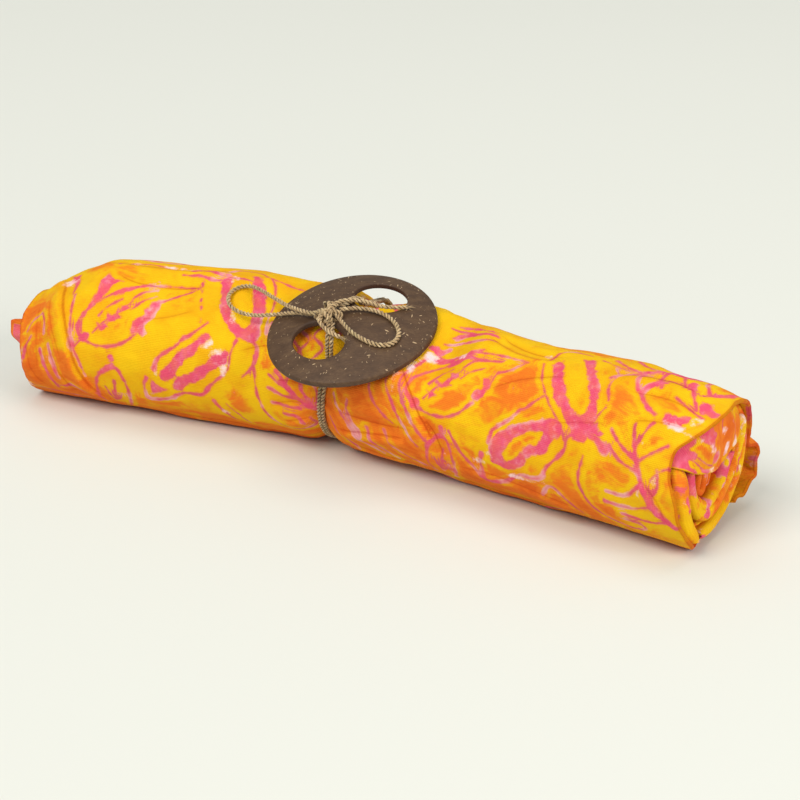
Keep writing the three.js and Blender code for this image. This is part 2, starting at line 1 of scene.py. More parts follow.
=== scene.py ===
import json
import math
import bpy
import numpy as np
from mathutils import Vector
from mathutils.geometry import delaunay_2d_cdt
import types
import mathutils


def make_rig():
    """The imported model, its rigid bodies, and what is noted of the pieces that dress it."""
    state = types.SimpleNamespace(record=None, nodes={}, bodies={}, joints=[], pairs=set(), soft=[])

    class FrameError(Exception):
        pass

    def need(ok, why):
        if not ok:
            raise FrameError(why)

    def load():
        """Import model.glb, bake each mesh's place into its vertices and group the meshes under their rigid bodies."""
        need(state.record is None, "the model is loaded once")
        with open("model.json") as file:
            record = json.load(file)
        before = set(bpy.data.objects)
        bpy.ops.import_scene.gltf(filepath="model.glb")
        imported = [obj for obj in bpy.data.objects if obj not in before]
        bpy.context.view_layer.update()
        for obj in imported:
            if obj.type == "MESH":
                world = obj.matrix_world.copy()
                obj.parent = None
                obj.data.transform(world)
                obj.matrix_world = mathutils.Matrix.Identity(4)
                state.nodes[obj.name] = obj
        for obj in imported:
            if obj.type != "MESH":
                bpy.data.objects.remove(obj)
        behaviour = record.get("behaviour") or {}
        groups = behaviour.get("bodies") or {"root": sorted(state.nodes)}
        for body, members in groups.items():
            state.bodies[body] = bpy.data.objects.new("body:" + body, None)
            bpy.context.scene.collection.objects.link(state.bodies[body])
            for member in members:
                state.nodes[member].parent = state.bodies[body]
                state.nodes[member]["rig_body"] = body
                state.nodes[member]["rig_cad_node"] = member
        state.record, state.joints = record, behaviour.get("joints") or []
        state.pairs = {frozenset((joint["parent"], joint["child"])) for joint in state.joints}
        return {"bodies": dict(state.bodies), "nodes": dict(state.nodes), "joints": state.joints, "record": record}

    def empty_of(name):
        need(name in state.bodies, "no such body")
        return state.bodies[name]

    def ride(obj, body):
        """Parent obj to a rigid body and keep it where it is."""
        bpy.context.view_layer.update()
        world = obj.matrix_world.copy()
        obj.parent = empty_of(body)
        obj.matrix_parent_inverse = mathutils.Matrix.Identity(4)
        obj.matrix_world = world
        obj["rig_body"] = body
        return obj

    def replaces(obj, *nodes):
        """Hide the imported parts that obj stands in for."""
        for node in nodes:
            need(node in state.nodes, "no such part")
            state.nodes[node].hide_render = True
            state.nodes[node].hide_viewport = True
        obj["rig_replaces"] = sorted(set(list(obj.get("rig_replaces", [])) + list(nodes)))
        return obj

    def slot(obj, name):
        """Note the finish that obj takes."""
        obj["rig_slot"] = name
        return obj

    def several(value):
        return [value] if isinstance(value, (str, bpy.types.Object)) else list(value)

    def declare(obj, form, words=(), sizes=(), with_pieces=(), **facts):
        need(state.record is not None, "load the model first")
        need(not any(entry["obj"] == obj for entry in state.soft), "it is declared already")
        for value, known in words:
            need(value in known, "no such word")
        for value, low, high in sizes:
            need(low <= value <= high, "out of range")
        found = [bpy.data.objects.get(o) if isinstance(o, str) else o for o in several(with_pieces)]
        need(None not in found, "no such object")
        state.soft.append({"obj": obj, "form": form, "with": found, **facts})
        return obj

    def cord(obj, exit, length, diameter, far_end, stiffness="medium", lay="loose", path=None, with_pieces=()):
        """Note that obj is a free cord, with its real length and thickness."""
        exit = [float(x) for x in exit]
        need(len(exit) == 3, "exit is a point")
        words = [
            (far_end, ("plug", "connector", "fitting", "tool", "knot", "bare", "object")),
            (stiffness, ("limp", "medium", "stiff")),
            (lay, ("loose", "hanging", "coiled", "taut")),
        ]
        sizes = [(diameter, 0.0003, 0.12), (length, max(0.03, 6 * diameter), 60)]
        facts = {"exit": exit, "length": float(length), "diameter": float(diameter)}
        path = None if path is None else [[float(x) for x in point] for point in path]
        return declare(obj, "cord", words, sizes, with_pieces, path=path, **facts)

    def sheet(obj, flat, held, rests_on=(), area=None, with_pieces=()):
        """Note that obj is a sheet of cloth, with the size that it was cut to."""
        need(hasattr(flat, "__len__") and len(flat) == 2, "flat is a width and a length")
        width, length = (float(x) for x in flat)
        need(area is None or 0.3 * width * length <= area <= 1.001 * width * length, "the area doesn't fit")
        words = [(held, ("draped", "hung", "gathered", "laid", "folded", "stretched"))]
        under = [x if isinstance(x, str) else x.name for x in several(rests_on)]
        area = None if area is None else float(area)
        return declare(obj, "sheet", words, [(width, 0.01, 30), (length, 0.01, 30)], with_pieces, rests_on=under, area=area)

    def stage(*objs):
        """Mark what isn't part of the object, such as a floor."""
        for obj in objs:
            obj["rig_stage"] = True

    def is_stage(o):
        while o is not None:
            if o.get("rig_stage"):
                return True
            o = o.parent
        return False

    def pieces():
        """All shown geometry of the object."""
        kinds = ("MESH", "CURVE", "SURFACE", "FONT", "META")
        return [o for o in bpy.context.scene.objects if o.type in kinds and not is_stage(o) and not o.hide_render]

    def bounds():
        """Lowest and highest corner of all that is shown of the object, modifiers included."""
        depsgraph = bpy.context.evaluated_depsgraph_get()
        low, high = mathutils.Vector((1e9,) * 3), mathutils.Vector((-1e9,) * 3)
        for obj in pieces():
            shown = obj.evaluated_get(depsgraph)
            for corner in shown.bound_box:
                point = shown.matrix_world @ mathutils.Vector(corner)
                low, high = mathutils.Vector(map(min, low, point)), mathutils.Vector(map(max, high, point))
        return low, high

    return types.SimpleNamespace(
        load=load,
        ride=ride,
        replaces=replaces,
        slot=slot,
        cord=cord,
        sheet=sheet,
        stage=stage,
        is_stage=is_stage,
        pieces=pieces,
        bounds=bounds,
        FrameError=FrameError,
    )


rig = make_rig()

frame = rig.load()
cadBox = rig.bounds()
print("sarong: frame loaded")

mm = 0.001
toMiddle = np.array([1.55, -1.7, 0.0])  # the CAD model stands with its middle on the origin


def rows(text):
    # tables are written as text: spaces between numbers, commas between rows
    return np.array([row.split() for row in text.split(",")], float)


def inMetres(points):
    return (np.asarray(points, float) + toMiddle) * mm


def ease(value):
    t = np.clip(value, 0.0, 1.0)
    return t * t * (3 - 2 * t)


def bell(value):
    return np.exp(-np.square(value))


def unit(vectors):
    vectors = np.asarray(vectors, float)
    return vectors / np.maximum(np.linalg.norm(vectors, axis=-1, keepdims=True), 1e-12)


def stepsOf(line):
    return np.linalg.norm(np.diff(line, axis=0), axis=1)


def turned(p, q, degrees):
    # a flat point's place along and across a direction
    c = math.cos(math.radians(degrees))
    s = math.sin(math.radians(degrees))
    return p * c + q * s, q * c - p * s


def read(table, at, column=1):
    # a smooth curve through one column of a table, by its first column
    keys = table[:, 0]
    values = table[:, column]
    at = np.clip(np.asarray(at, float), keys[0], keys[-1])
    i = np.clip(np.searchsorted(keys, at, side="right") - 1, 0, len(keys) - 2)
    slopes = np.empty(len(keys))
    slopes[1:-1] = (values[2:] - values[:-2]) / (keys[2:] - keys[:-2])
    slopes[0] = (values[1] - values[0]) / (keys[1] - keys[0])
    slopes[-1] = (values[-1] - values[-2]) / (keys[-1] - keys[-2])
    span = keys[i + 1] - keys[i]
    t = (at - keys[i]) / span
    t2 = t * t
    t3 = t2 * t
    start = (2 * t3 - 3 * t2 + 1) * values[i] + (t3 - 2 * t2 + t) * slopes[i] * span
    return start + (-2 * t3 + 3 * t2) * values[i + 1] + (t3 - t2) * slopes[i + 1] * span


def smoothNoise(u, v, size, seed):
    # soft random hills, about -1 to 1, with the given spacing
    table = np.random.default_rng(seed).uniform(-1, 1, (64, 64))
    a = np.asarray(u, float) / size
    b = np.asarray(v, float) / size
    i = np.floor(a).astype(int)
    j = np.floor(b).astype(int)
    s = ease(a - i)
    t = ease(b - j)
    low, high = [
        table[i % 64, k % 64] * (1 - s) + table[(i + 1) % 64, k % 64] * s for k in (j, j + 1)
    ]
    return low * (1 - t) + high * t


def curveThrough(points, step):
    # a smooth line through the points, then points on it one step apart
    points = np.asarray(points, float)
    keys = np.concatenate([[0], np.cumsum(np.maximum(np.sqrt(stepsOf(points)), 1e-6))])
    fine = np.linspace(0, keys[-1], len(points) * 24)
    table = np.column_stack([keys, points])
    line = np.column_stack([read(table, fine, k + 1) for k in range(points.shape[1])])
    run = np.concatenate([[0], np.cumsum(stepsOf(line))])
    at = np.linspace(0, run[-1], max(int(round(run[-1] / step)), 2) + 1)
    return np.column_stack([np.interp(at, run, line[:, k]) for k in range(points.shape[1])])


def addObject(name, data):
    made = bpy.data.objects.new(name, data)
    bpy.context.scene.collection.objects.link(made)
    return made


def makePiece(name, points, faces, material, values, uv=None):
    mesh = bpy.data.meshes.new(name)
    mesh.from_pydata(inMetres(points).tolist(), [], [list(map(int, face)) for face in faces])
    mesh.polygons.foreach_set("use_smooth", [True] * len(mesh.polygons))
    for key, data in values.items():
        vector = np.ndim(data) > 1
        layer = mesh.attributes.new(key, "FLOAT_VECTOR" if vector else "FLOAT", "POINT")
        layer.data.foreach_set("vector" if vector else "value", np.asarray(data, np.float32).ravel())
    if uv is not None:
        loops = np.empty(len(mesh.loops), int)
        mesh.loops.foreach_get("vertex_index", loops)
        layer = mesh.uv_layers.new(name="weave")
        layer.data.foreach_set("uv", np.asarray(uv, np.float32)[loops].ravel())
    mesh.materials.append(material)
    mesh.validate()
    mesh.update()
    return addObject(name, mesh)


def dress(piece, slot, *nodes):
    if nodes:
        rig.replaces(piece, *nodes)
    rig.ride(piece, "root")
    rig.slot(piece, slot)
    return piece


def gridFaces(rowCount, columns, start=0, flip=False, around=False):
    i, j = np.meshgrid(np.arange(rowCount - 1), np.arange(columns - (not around)), indexing="ij")
    k = (j + 1) % columns
    a = start + i * columns
    b = a + columns
    quads = [a + j, a + k, b + k, b + j] if flip else [a + j, b + j, b + k, a + k]
    return np.stack(quads, -1).reshape(-1, 4).tolist()


class Val:
    # a number socket that can stand in Python sums
    def __init__(self, make, socket):
        self.make = make
        self.socket = socket

    def sum(self, operation, other, swap=False):
        pair = (other, self) if swap else (self, other)
        return self.make.node("Math", {"operation": operation}, {0: pair[0], 1: pair[1]})

    def __add__(self, other):
        return self.sum("ADD", other)

    def __radd__(self, other):
        return self.sum("ADD", other, True)

    def __sub__(self, other):
        return self.sum("SUBTRACT", other)

    def __rsub__(self, other):
        return self.sum("SUBTRACT", other, True)

    def __mul__(self, other):
        return self.sum("MULTIPLY", other)

    def __rmul__(self, other):
        return self.sum("MULTIPLY", other, True)

    def __pow__(self, other):
        return self.sum("POWER", other)


class Maker:
    # adds nodes to a tree; a shader node's type is given without its prefix
    def __init__(self, tree):
        self.tree = tree

    def node(self, kind, settings=None, sockets=None, out=0):
        made = self.tree.nodes.new(kind if "Node" in kind else "ShaderNode" + kind)
        for key, value in (settings or {}).items():
            if key == "stops":
                self.setStops(made.color_ramp, value)
            else:
                setattr(made, key, value)
        for key, value in (sockets or {}).items():
            if isinstance(value, (Val, bpy.types.NodeSocket)):
                self.tree.links.new(getattr(value, "socket", value), made.inputs[key])
            else:
                made.inputs[key].default_value = value
        return Val(self, made.outputs[out]) if len(made.outputs) > out else made

    def setStops(self, ramp, stops):
        while len(ramp.elements) < len(stops):
            ramp.elements.new(0.5)
        for element, (position, colour) in zip(ramp.elements, stops):
            element.position = position
            element.color = tint(*colour)

    def step(self, value, low, high):
        # 0 at low, 1 at high, smooth between
        sockets = {"Value": value, "From Min": low, "From Max": high}
        return self.node("MapRange", {"interpolation_type": "SMOOTHSTEP"}, sockets)

    def mix(self, share, first, second, blend="MIX"):
        settings = {"data_type": "RGBA", "blend_type": blend, "clamp_factor": True}
        return self.node("Mix", settings, {0: share, 6: first, 7: second}, 2)

    def paintShade(self, share, colour, dye):
        # painted shade: darkens a colour by multiplying a shade tint over it
        return self.mix(share, colour, self.mix(1.0, colour, tint(*dye), "MULTIPLY"))

    def noise(self, where, scale, detail=2.0, rough=0.5, distort=0.0):
        sockets = {"Vector": where, "Scale": scale, "Detail": detail, "Roughness": rough}
        return self.node("TexNoise", None, {**sockets, "Distortion": distort})

    def attribute(self, name, out=2):
        return self.node("Attribute", {"attribute_name": name}, None, out)

    def place(self):
        return self.node("TexCoord", None, None, 3)

    def scaled(self, where, size):
        return self.node("VectorMath", {"operation": "MULTIPLY"}, {0: where, 1: size})

    def finish(self, sockets, height=None, strength=0.0, distance=0.0):
        if height:
            bump = {"Strength": strength, "Distance": distance, "Height": height}
            sockets["Normal"] = self.node("Bump", None, bump)
        self.node("OutputMaterial", None, {"Surface": self.node("BsdfPrincipled", None, sockets)})


def tint(*screen):
    # a screen colour, 0 to 255, as the linear colour that nodes take
    shares = [value / 255 for value in screen]
    return (*[v / 12.92 if v <= 0.04045 else ((v + 0.055) / 1.055) ** 2.4 for v in shares], 1.0)


def newMaterial(name, preview):
    material = bpy.data.materials.new(name)
    material.use_nodes = True
    material.diffuse_color = preview
    material.node_tree.nodes.clear()
    return material, Maker(material.node_tree)


view = {
    "lookAt": (-0.01345, 0.0600, 0.0),
    "azimuth": 29.25,
    "elevation": 23.95,
    "distance": 1.1715,
    "lens": 99,
}


def addCamera():
    data = bpy.data.cameras.new("camera")
    data.lens = view["lens"]
    data.sensor_width = 36
    data.clip_end = 20
    camera = addObject("camera", data)
    azimuth = math.radians(view["azimuth"])
    elevation = math.radians(view["elevation"])
    level = math.cos(elevation)
    away = Vector((math.sin(azimuth) * level, -math.cos(azimuth) * level, math.sin(elevation)))
    camera.location = Vector(view["lookAt"]) + away * view["distance"]
    camera.rotation_euler = away.to_track_quat("Z", "Y").to_euler()
    bpy.context.scene.camera = camera


addCamera()
print("sarong: camera")

# The roll's form, as in the CAD model, in millimetres
roll = {
    "halfLength": 191,
    "bendAt": -18,
    "bendSpan": 22,
    "leftSlope": 0.143,
    "rightSlope": -0.115,
    "bendShift": 12.5,
    "sag": 1.4,
    "clothWall": 2.4,
    "lapEdge": -26,
    "lapDrop": 21,
    "lapEnd": 396,
    "lapFrom": 292,
    "lapUnder": 335,
    # at each end: where the line's direction is taken, how far in the face lies, and its middle's height
    "endAt": 189.0,
    "endInset": 1.5,
    "endMiddle": 37.2,
    "pinchDepth": 4.3,
    "pinchReach": 7.5,
    "bulgeHeight": 1.1,
    "bulgeAway": 17,
    # along the roll: half width, height
    "sections": rows(
        "-191 30.5 53, -184 33 57.6, -176 35 63, -165 36.8 68.6, -152 38 74, -130 38.6 75.4, -108 38.8 75.6,"
        "-85 39.2 77.4, -60 39.6 77.8, -35 39.7 77, -5 39.6 77, 20 39.2 76.4, 50 38.3 74.6, 90 37 72.6,"
        "120 37.6 74, 140 38 75, 162 38.2 75, 180 38.2 75.6, 191 38 75.4"
    ),
    # where the twine pinches the cloth, by angle: 0 back, 90 top, 180 front, 270 under
    "pinchLine": rows(
        "-60 -18.5, 0 -16, 45 -9, 90 -5.5, 130 -5.5, 155 -7, 180 -10, 225 -15, 270 -18.5, 315 -18.5,"
        "360 -16, 420 -8"
    ),
    # largest soft folds: x, angle, length, degrees round, height, lean
    "folds": rows(
        "-2 68 19 25 -4.4 0, -150 165 26 17 -1.3 -.9, -168 140 20 15 1.2 -.9, -96 118 34 12 -.9 .15,"
        "-52 150 22 10 -1.1 .5, 34 156 24 14 1.2 -.5, 36 212 26 24 1.5 0, 62 120 30 10 -1.1 -.3,"
        "112 168 34 13 -1.2 .2, 150 125 26 14 .9 .4, -70 40 36 14 -1.1 -.3, 28 30 30 12 -1.2 .4,"
        "120 50 34 13 -1 .2"
    ),
    # by angle: how far the edge stands past the end, and how far it droops
    "rightEdge": rows(
        "-47 -2.5 0, -26 -2.5 0, 0 -3 0, 30 -.5 1, 55 2.5 3, 78 4 4.5, 100 6 4.5, 122 4 3, 136 -.5 1,"
        "148 -5.5 0, 166 -5.5 0, 180 -2 0, 205 0 0, 232 1 0, 252 -3.5 0, 275 -7 0, 315 -5 0,"
        "345 -3.5 0, 396 -4 0"
    ),
    "leftEdge": rows(
        "-26 4 0, 0 1 0, 60 1 1, 100 2.5 .5, 132 3 .5, 158 .5 0, 180 -1 0, 225 -.5 0, 290 0 0, 396 -3 0"
    ),
    # the free edge's corners stand off the roll: x, reach, out, from, span
    "flares": rows("192 40 13.5 2 15, -193 30 5 8 30"),
}
buckle = {
    "centre": np.array([-1.4, -12.6, 75.4]),
    "up": unit([0.053, -0.345, 0.937]),
    "longDirection": 53.4,
    # along, across, half long, half short, turn
    "rim": (0, 0, 42.8, 39.2, 0),
    "holes": rows("-18.9 -4.3 14.3 11.4 116, 19.6 9 14 11.7 124"),
    "dishRadius": 138,
    "thickness": 3.4,
    "pressEdge": 1.08,
    "pressReach": 1.7,
    "pressGap": 0.6,
    "holeSink": 2.4,
    "edgeRound": 1.0,
    "grain": 1.9,
}
flatLong = np.array([*turned(1, 0, -buckle["longDirection"]), 0])
longAxis = unit(flatLong - buckle["up"] * (flatLong @ buckle["up"]))
shortAxis = np.cross(buckle["up"], longAxis)


def onBuckle(along, across, height):
    # points over the buckle's upper face
    along, across, height = [np.asarray(value, float)[..., None] for value in (along, across, height)]
    drop = (along**2 + across**2) / (2 * buckle["dishRadius"])
    return buckle["centre"] + along * longAxis + across * shortAxis + (height - drop) * buckle["up"]


def ovalReach(along, across, oval, more=0):
    # how far out points lie in an oval, 1 on its edge
    p, q = turned(along - oval[0], across - oval[1], oval[4])
    return np.hypot(p / (oval[2] + more), q / (oval[3] + more))


def lineY(x):
    d = x - roll["bendAt"]
    bend = np.sqrt(d * d + roll["bendSpan"] ** 2) - roll["bendSpan"]
    mean = (roll["leftSlope"] + roll["rightSlope"]) / 2
    half = (roll["leftSlope"] - roll["rightSlope"]) / 2
    return roll["bendShift"] + mean * d - half * bend


def offLine(x, away, back, up):
    # points beside the roll's bent line: away along the line, back and up from it
    turn = np.arctan((lineY(x + 1) - lineY(x - 1)) / 2)
    return np.stack([away - np.sin(turn) * back, lineY(x) + np.cos(turn) * back, up], -1)


def pressed(points):
    # the cloth gives way under the buckle
    off = points - buckle["centre"]
    along, across, height = [off @ axis for axis in (longAxis, shortAxis, buckle["up"])]
    underHole = ease((1.2 - np.minimum(*[ovalReach(along, across, hole) for hole in buckle["holes"]])) / 0.5)
    drop = (along**2 + across**2) / (2 * buckle["dishRadius"])
    over = height + drop + buckle["thickness"] + buckle["pressGap"] + buckle["holeSink"] * underHole
    soft = np.where(over > 3, over, np.where(over < -3, 0, (over + 3) ** 2 / 12))
    out = ovalReach(along, across, buckle["rim"])
    soft = soft * (1 - ease((out - buckle["pressEdge"]) / (buckle["pressReach"] - buckle["pressEdge"])))
    return points - soft[..., None] * buckle["up"]


def pinchAt(angle):
    return read(roll["pinchLine"], (np.asarray(angle, float) + 780) % 360 - 60)


def outerPoint(x, angle, inset=0.0):
    x, angle, inset = np.broadcast_arrays(x, angle, inset)
    x = x.astype(float)
    top = read(roll["sections"], x, 2)
    rise = (top + roll["sag"]) / 2
    d = x - pinchAt(angle)
    grow = -roll["pinchDepth"] * bell(d / roll["pinchReach"])
    swell = bell((d - roll["bulgeAway"]) / 10) + 0.7 * bell((d + roll["bulgeAway"]) / 10)
    grow = grow + roll["bulgeHeight"] * swell - inset
    for foldX, foldAngle, long, wide, height, lean in roll["folds"]:
        off = angle - foldAngle - lean * (x - foldX)
        grow = grow + height * bell((x - foldX) / long) * bell(off / wide)
    for flareX, reach, out, start, span in roll["flares"]:
        near = ease(1 - np.abs(flareX - x) / reach)
        low = 1 - 0.8 * ease((roll["lapEdge"] - angle) / roll["lapDrop"])
        grow = grow + out * near * ease((start - angle) / span) * low
    a = np.radians(angle)
    side = (read(roll["sections"], x) + grow) * np.cos(a)
    return pressed(offLine(x, x, side, np.maximum(top - rise + (rise + grow) * np.sin(a), 0)))


def lapDip(angle):
    return (roll["clothWall"] + 0.45) * ease((angle - roll["lapFrom"]) / (roll["lapUnder"] - roll["lapFrom"]))


def alongPinch(x, angle):
    return x + (pinchAt(angle) + 12) * bell((x + 12) / 30)


def stretched(x, angle):
    # where the cloth's own place x lies along the roll, and how far it droops there
    right = ease((x - 158) / 33)
    left = ease((-x - 158) / 33)
    out = right * read(roll["rightEdge"], angle) - left * read(roll["leftEdge"], angle)
    droop = right**3 * read(roll["rightEdge"], angle, 2) + left**3 * read(roll["leftEdge"], angle, 2)
    return alongPinch(x, angle) + out, droop


def outerFace(x, angle):
    at, droop = stretched(x, angle)
    return outerPoint(at, angle, lapDip(angle) + droop)


def outward(face, x, angle):
    alongX = face(x + 0.6, angle) - face(x - 0.6, angle)
    return unit(np.cross(face(x, angle + 1.2) - face(x, angle - 1.2), alongX))


twine = {
    "width": 2.0,
    "spacing": 2.3,
    "lift": 0.4,
    "plyRadius": 0.57,
    "plyOffset": 0.54,
    "lay": 4.2,  # length of one full twist
    "sides": 8,
    "ringStep": 0.36,
    "thinEnd": 0.35,
    # along, across, height over the buckle
    "knot": (-8.4, 7.4, 3.1),
    "frontRise": rows("-9.4 1.2 1.6, -12.2 -3.6 .2, -14.6 -6.6 -4.2"),
    "backFall": rows("11.4 11.6 -3.4, 9.6 12 .6, 5.2 11.2 1.5, -2.4 9.4 1.9"),
    "rightLoop": rows(
        "-3.2 5.4 3.2, 3.6 3 2.8, 10.4 -.8 2, 15.4 -6.4 1.5, 17.8 -13.6 1.4, 17.2 -20.6 1.4, 13.6 -25 1.4,"
        "8.6 -26 1.4, 3.8 -23.6 1.4, -.4 -18.2 1.5, -3.8 -10.6 1.9, -5.2 -3 2.6"
    ),
    "longEnd": rows(
        "-8.6 8.6 3.4, -2.6 9.2 4.8, 3.4 7.8 4.9, 9.4 4.4 4, 16 -.4 2, 22.6 -3.6 1.3, 28.4 -5.4 1.3"
    ),
    # turns back inside the knot, then hangs over the buckle's face
    "shortEnd": rows(
        "-5.7 1.6 3.3, -6.6 4.4 3.7, -8.9 6.2 4.1, -11.7 6.2 4.4, -14 4.4 4.4, -14.9 1.6 4.2, -14.4 -2.4 3.4,"
        "-12.5 -6.8 2.2, -9.6 -10.8 1.3"
    ),
    # x, y and height over the floor
    "leftLoop": rows(
        "-14 -16.7 77.6, -19.5 -20.4 77.6, -33.3 -16.7 76.8, -46.5 -11.2 77.4, -60.1 -5.2 77.8,"
        "-66.6 -4.5 77.4, -71 -8.6 76.2, -71.1 -14.6 74.2, -66.8 -19.2 71.6, -59.8 -20 69.6,"
        "-51.4 -19.3 69.6, -40.4 -17.9 71.8, -28.9 -17.6 74.8, -20 -16.6 75.6"
    ),
    "slack": rows("0 0, .2 .1, .36 .3, .5 .25, .62 0, 1 0"),  # where the right strand's plies open
    # the knot's wraps: half width, half height, turn, along, across, height, tip
    "wraps": rows(
        "5.6 3 20 -.8 -1.8 .6 .25, 5.2 2.8 75 .2 -1.5 .9 .15, 4.6 2.6 -40 -2.2 -.8 .5 .3,"
        "4.2 2.4 110 -3.8 -2.2 .4 -.2, 4.8 2.6 150 .6 -3.4 .3 .1"
    ),
}


def twineMaterial():
    material, make = newMaterial("twine_fibre", tint(176, 150, 110))
    where = make.place()
    uv = make.node("UVMap", {"uv_map": "weave"})
    strands = make.noise(make.scaled(uv, (1.0, 0.12, 1.0)), 2.2, 3.0, 0.65)
    patches = make.noise(where, 260.0, 3.0, 0.6)
    stops = [(0.26, (80, 58, 36)), (0.40, (142, 113, 76)), (0.54, (188, 160, 116)), (0.72, (240, 219, 174))]
    colour = make.node("ValToRGB", {"stops": stops}, {"Fac": strands * 0.72 + patches * 0.28})
    olive = make.step(make.noise(where, 90.0), 0.52, 0.68)
    colour = make.mix(olive * 0.4, colour, tint(150, 138, 92))
    # painted shade in the grooves between the plies
    groove = make.step(make.attribute("depth"), 0.86, 0.5)
    colour = make.mix(groove * 0.8, colour, tint(84, 60, 34))
    sockets = {"Base Color": colour, "Roughness": strands * 0.2 + 0.66, "Sheen Weight": 0.2}
    make.finish(sockets, strands, 0.55, 0.00025)
    return material


def frames(line):
    # direction and two side directions at each point, turning as little as possible
    ahead = unit(np.gradient(line, axis=0))
    side = np.empty_like(ahead)
    guess = np.cross(ahead[0], [0, 0, 1.0])
    if np.linalg.norm(guess) < 0.1:
        guess = np.cross(ahead[0], [1.0, 0, 0])
    side[0] = unit(guess)
    for i in range(1, len(line)):
        side[i] = unit(side[i - 1] - ahead[i] * (side[i - 1] @ ahead[i]))
    return side, np.cross(ahead, side)


def tube(line, radius, sides, turn=0.0):
    # rings of points round a line, and their faces, closed at both ends
    side, up = frames(line)
    radius = np.broadcast_to(np.asarray(radius, float), (len(line),))
    a = np.arange(sides) * 2 * math.pi / sides + turn
    ring = np.cos(a)[None, :, None] * side[:, None, :] + np.sin(a)[None, :, None] * up[:, None, :]
    points = (line[:, None, :] + ring * radius[:, None, None]).reshape(-1, 3)
    last = (len(line) - 1) * sides
    faces = gridFaces(len(line), sides, 0, True, True)
    faces += [list(range(sides)), list(range(last + sides - 1, last - 1, -1))]
    run = np.concatenate([[0], np.cumsum(stepsOf(line))])
    uv = [np.tile(np.arange(sides) / sides * 2.5, len(line)), np.repeat(run, sides)]
    return points, faces, np.stack(uv, -1)


class Heap:
    # gathers parts of one piece, with each part's values at its points
    def __init__(self):
        self.points = []
        self.faces = []
        self.values = []
        self.uv = []
        self.count = 0

    def add(self, points, faces, values, uv):
        self.points.append(points)
        self.faces += [[v + self.count for v in face] for face in faces]
        self.values.append(values)
        self.uv.append(uv)
        self.count += len(points)

    def piece(self, name, material):
        values = {key: np.concatenate([part[key] for part in self.values]) for key in self.values[0]}
        points, uv = np.concatenate(self.points), np.concatenate(self.uv)
        return makePiece(name, points, self.faces, material, values, uv)


def layStrand(heap, line, seed, phase=0.0, slack=None, deep=1.0):
    # two plies round the line; slack opens them where it is above 0, by share of the length
    rng = np.random.default_rng(seed)
    line = curveThrough(line, twine["ringStep"])
    side, up = frames(line)
    share = np.linspace(0, 1, len(line))
    length = np.sum(stepsOf(line))
    run = share * length
    off = twine["plyOffset"] + (0 if slack is None else read(slack, share) * 0.55) * np.ones(len(line))
    wobble = smoothNoise(run, np.zeros(len(line)), 3.0, seed)
    for ply in range(2):
        a = 2 * math.pi * run / twine["lay"] + ply * math.pi + phase + wobble * 0.35
        centre = line + (np.cos(a)[:, None] * side + np.sin(a)[:, None] * up) * off[:, None]
        thick = smoothNoise(run, np.full(len(line), ply * 9.0), 1.7, seed + 5)
        radius = twine["plyRadius"] * (1 + 0.12 * thick)
        for way in (run, length - run):
            radius = radius * (1 - 0.65 * ease((twine["thinEnd"] - way) / twine["thinEnd"]))
        points, faces, uv = tube(centre, radius, twine["sides"], rng.uniform(0, 6))
        depth = np.linalg.norm(points - np.repeat(line, twine["sides"], axis=0), axis=1)
        depth = depth / (twine["plyOffset"] + twine["plyRadius"]) * deep
        heap.add(points, faces, {"depth": depth}, uv + rng.uniform(0, 40, 2))
    return line


def twineRunLine(side):
    # from the knot down through the front hole, round the roll, and up through the back hole
    shift = side * twine["spacing"] / 2
    aside = unit([1, 0.1, 0]) * shift
    angle = np.arange(156.0, 420.1, 6)
    at = lambda a: outerPoint(pinchAt(a), a)
    away = outward(outerPoint, pinchAt(angle), angle)
    across = np.cross(unit(at(angle + 2) - at(angle - 2)), away)
    across = np.where(across[:, :1] < 0, -across, across)
    around = at(angle) + away * (twine["width"] / 2 + twine["lift"]) + across * shift
    rise, fall = [onBuckle(*twine[key].T) + aside for key in ("frontRise", "backFall")]
    return np.concatenate([rise, around, fall])


def frayEnd(heap, line, seed, count, long):
    # loose fibres at a cut end
    rng = np.random.default_rng(seed)
    direction = unit(line[-1] - line[-2])
    for _ in range(count):
        spread = unit(direction + rng.normal(0, 0.33, 3) * np.array([1, 1, 0.35]))
        start = line[-1] - direction * 0.8 + rng.normal(0, 0.22, 3)
        size = long * rng.uniform(0.45, 1.0)
        bend = rng.normal(0, 0.5, 3) * np.array([1, 1, 0.3])
        hair = [start, start + spread * size * 0.5 + bend * 0.4, start + spread * size + bend]
        hair = curveThrough(hair, 0.9)
        points, faces, uv = tube(hair, np.linspace(0.17, 0.05, len(hair)), 4)
        heap.add(points, faces, {"depth": np.full(len(points), 0.9)}, uv + rng.uniform(0, 40, 2))


fibre = twineMaterial()


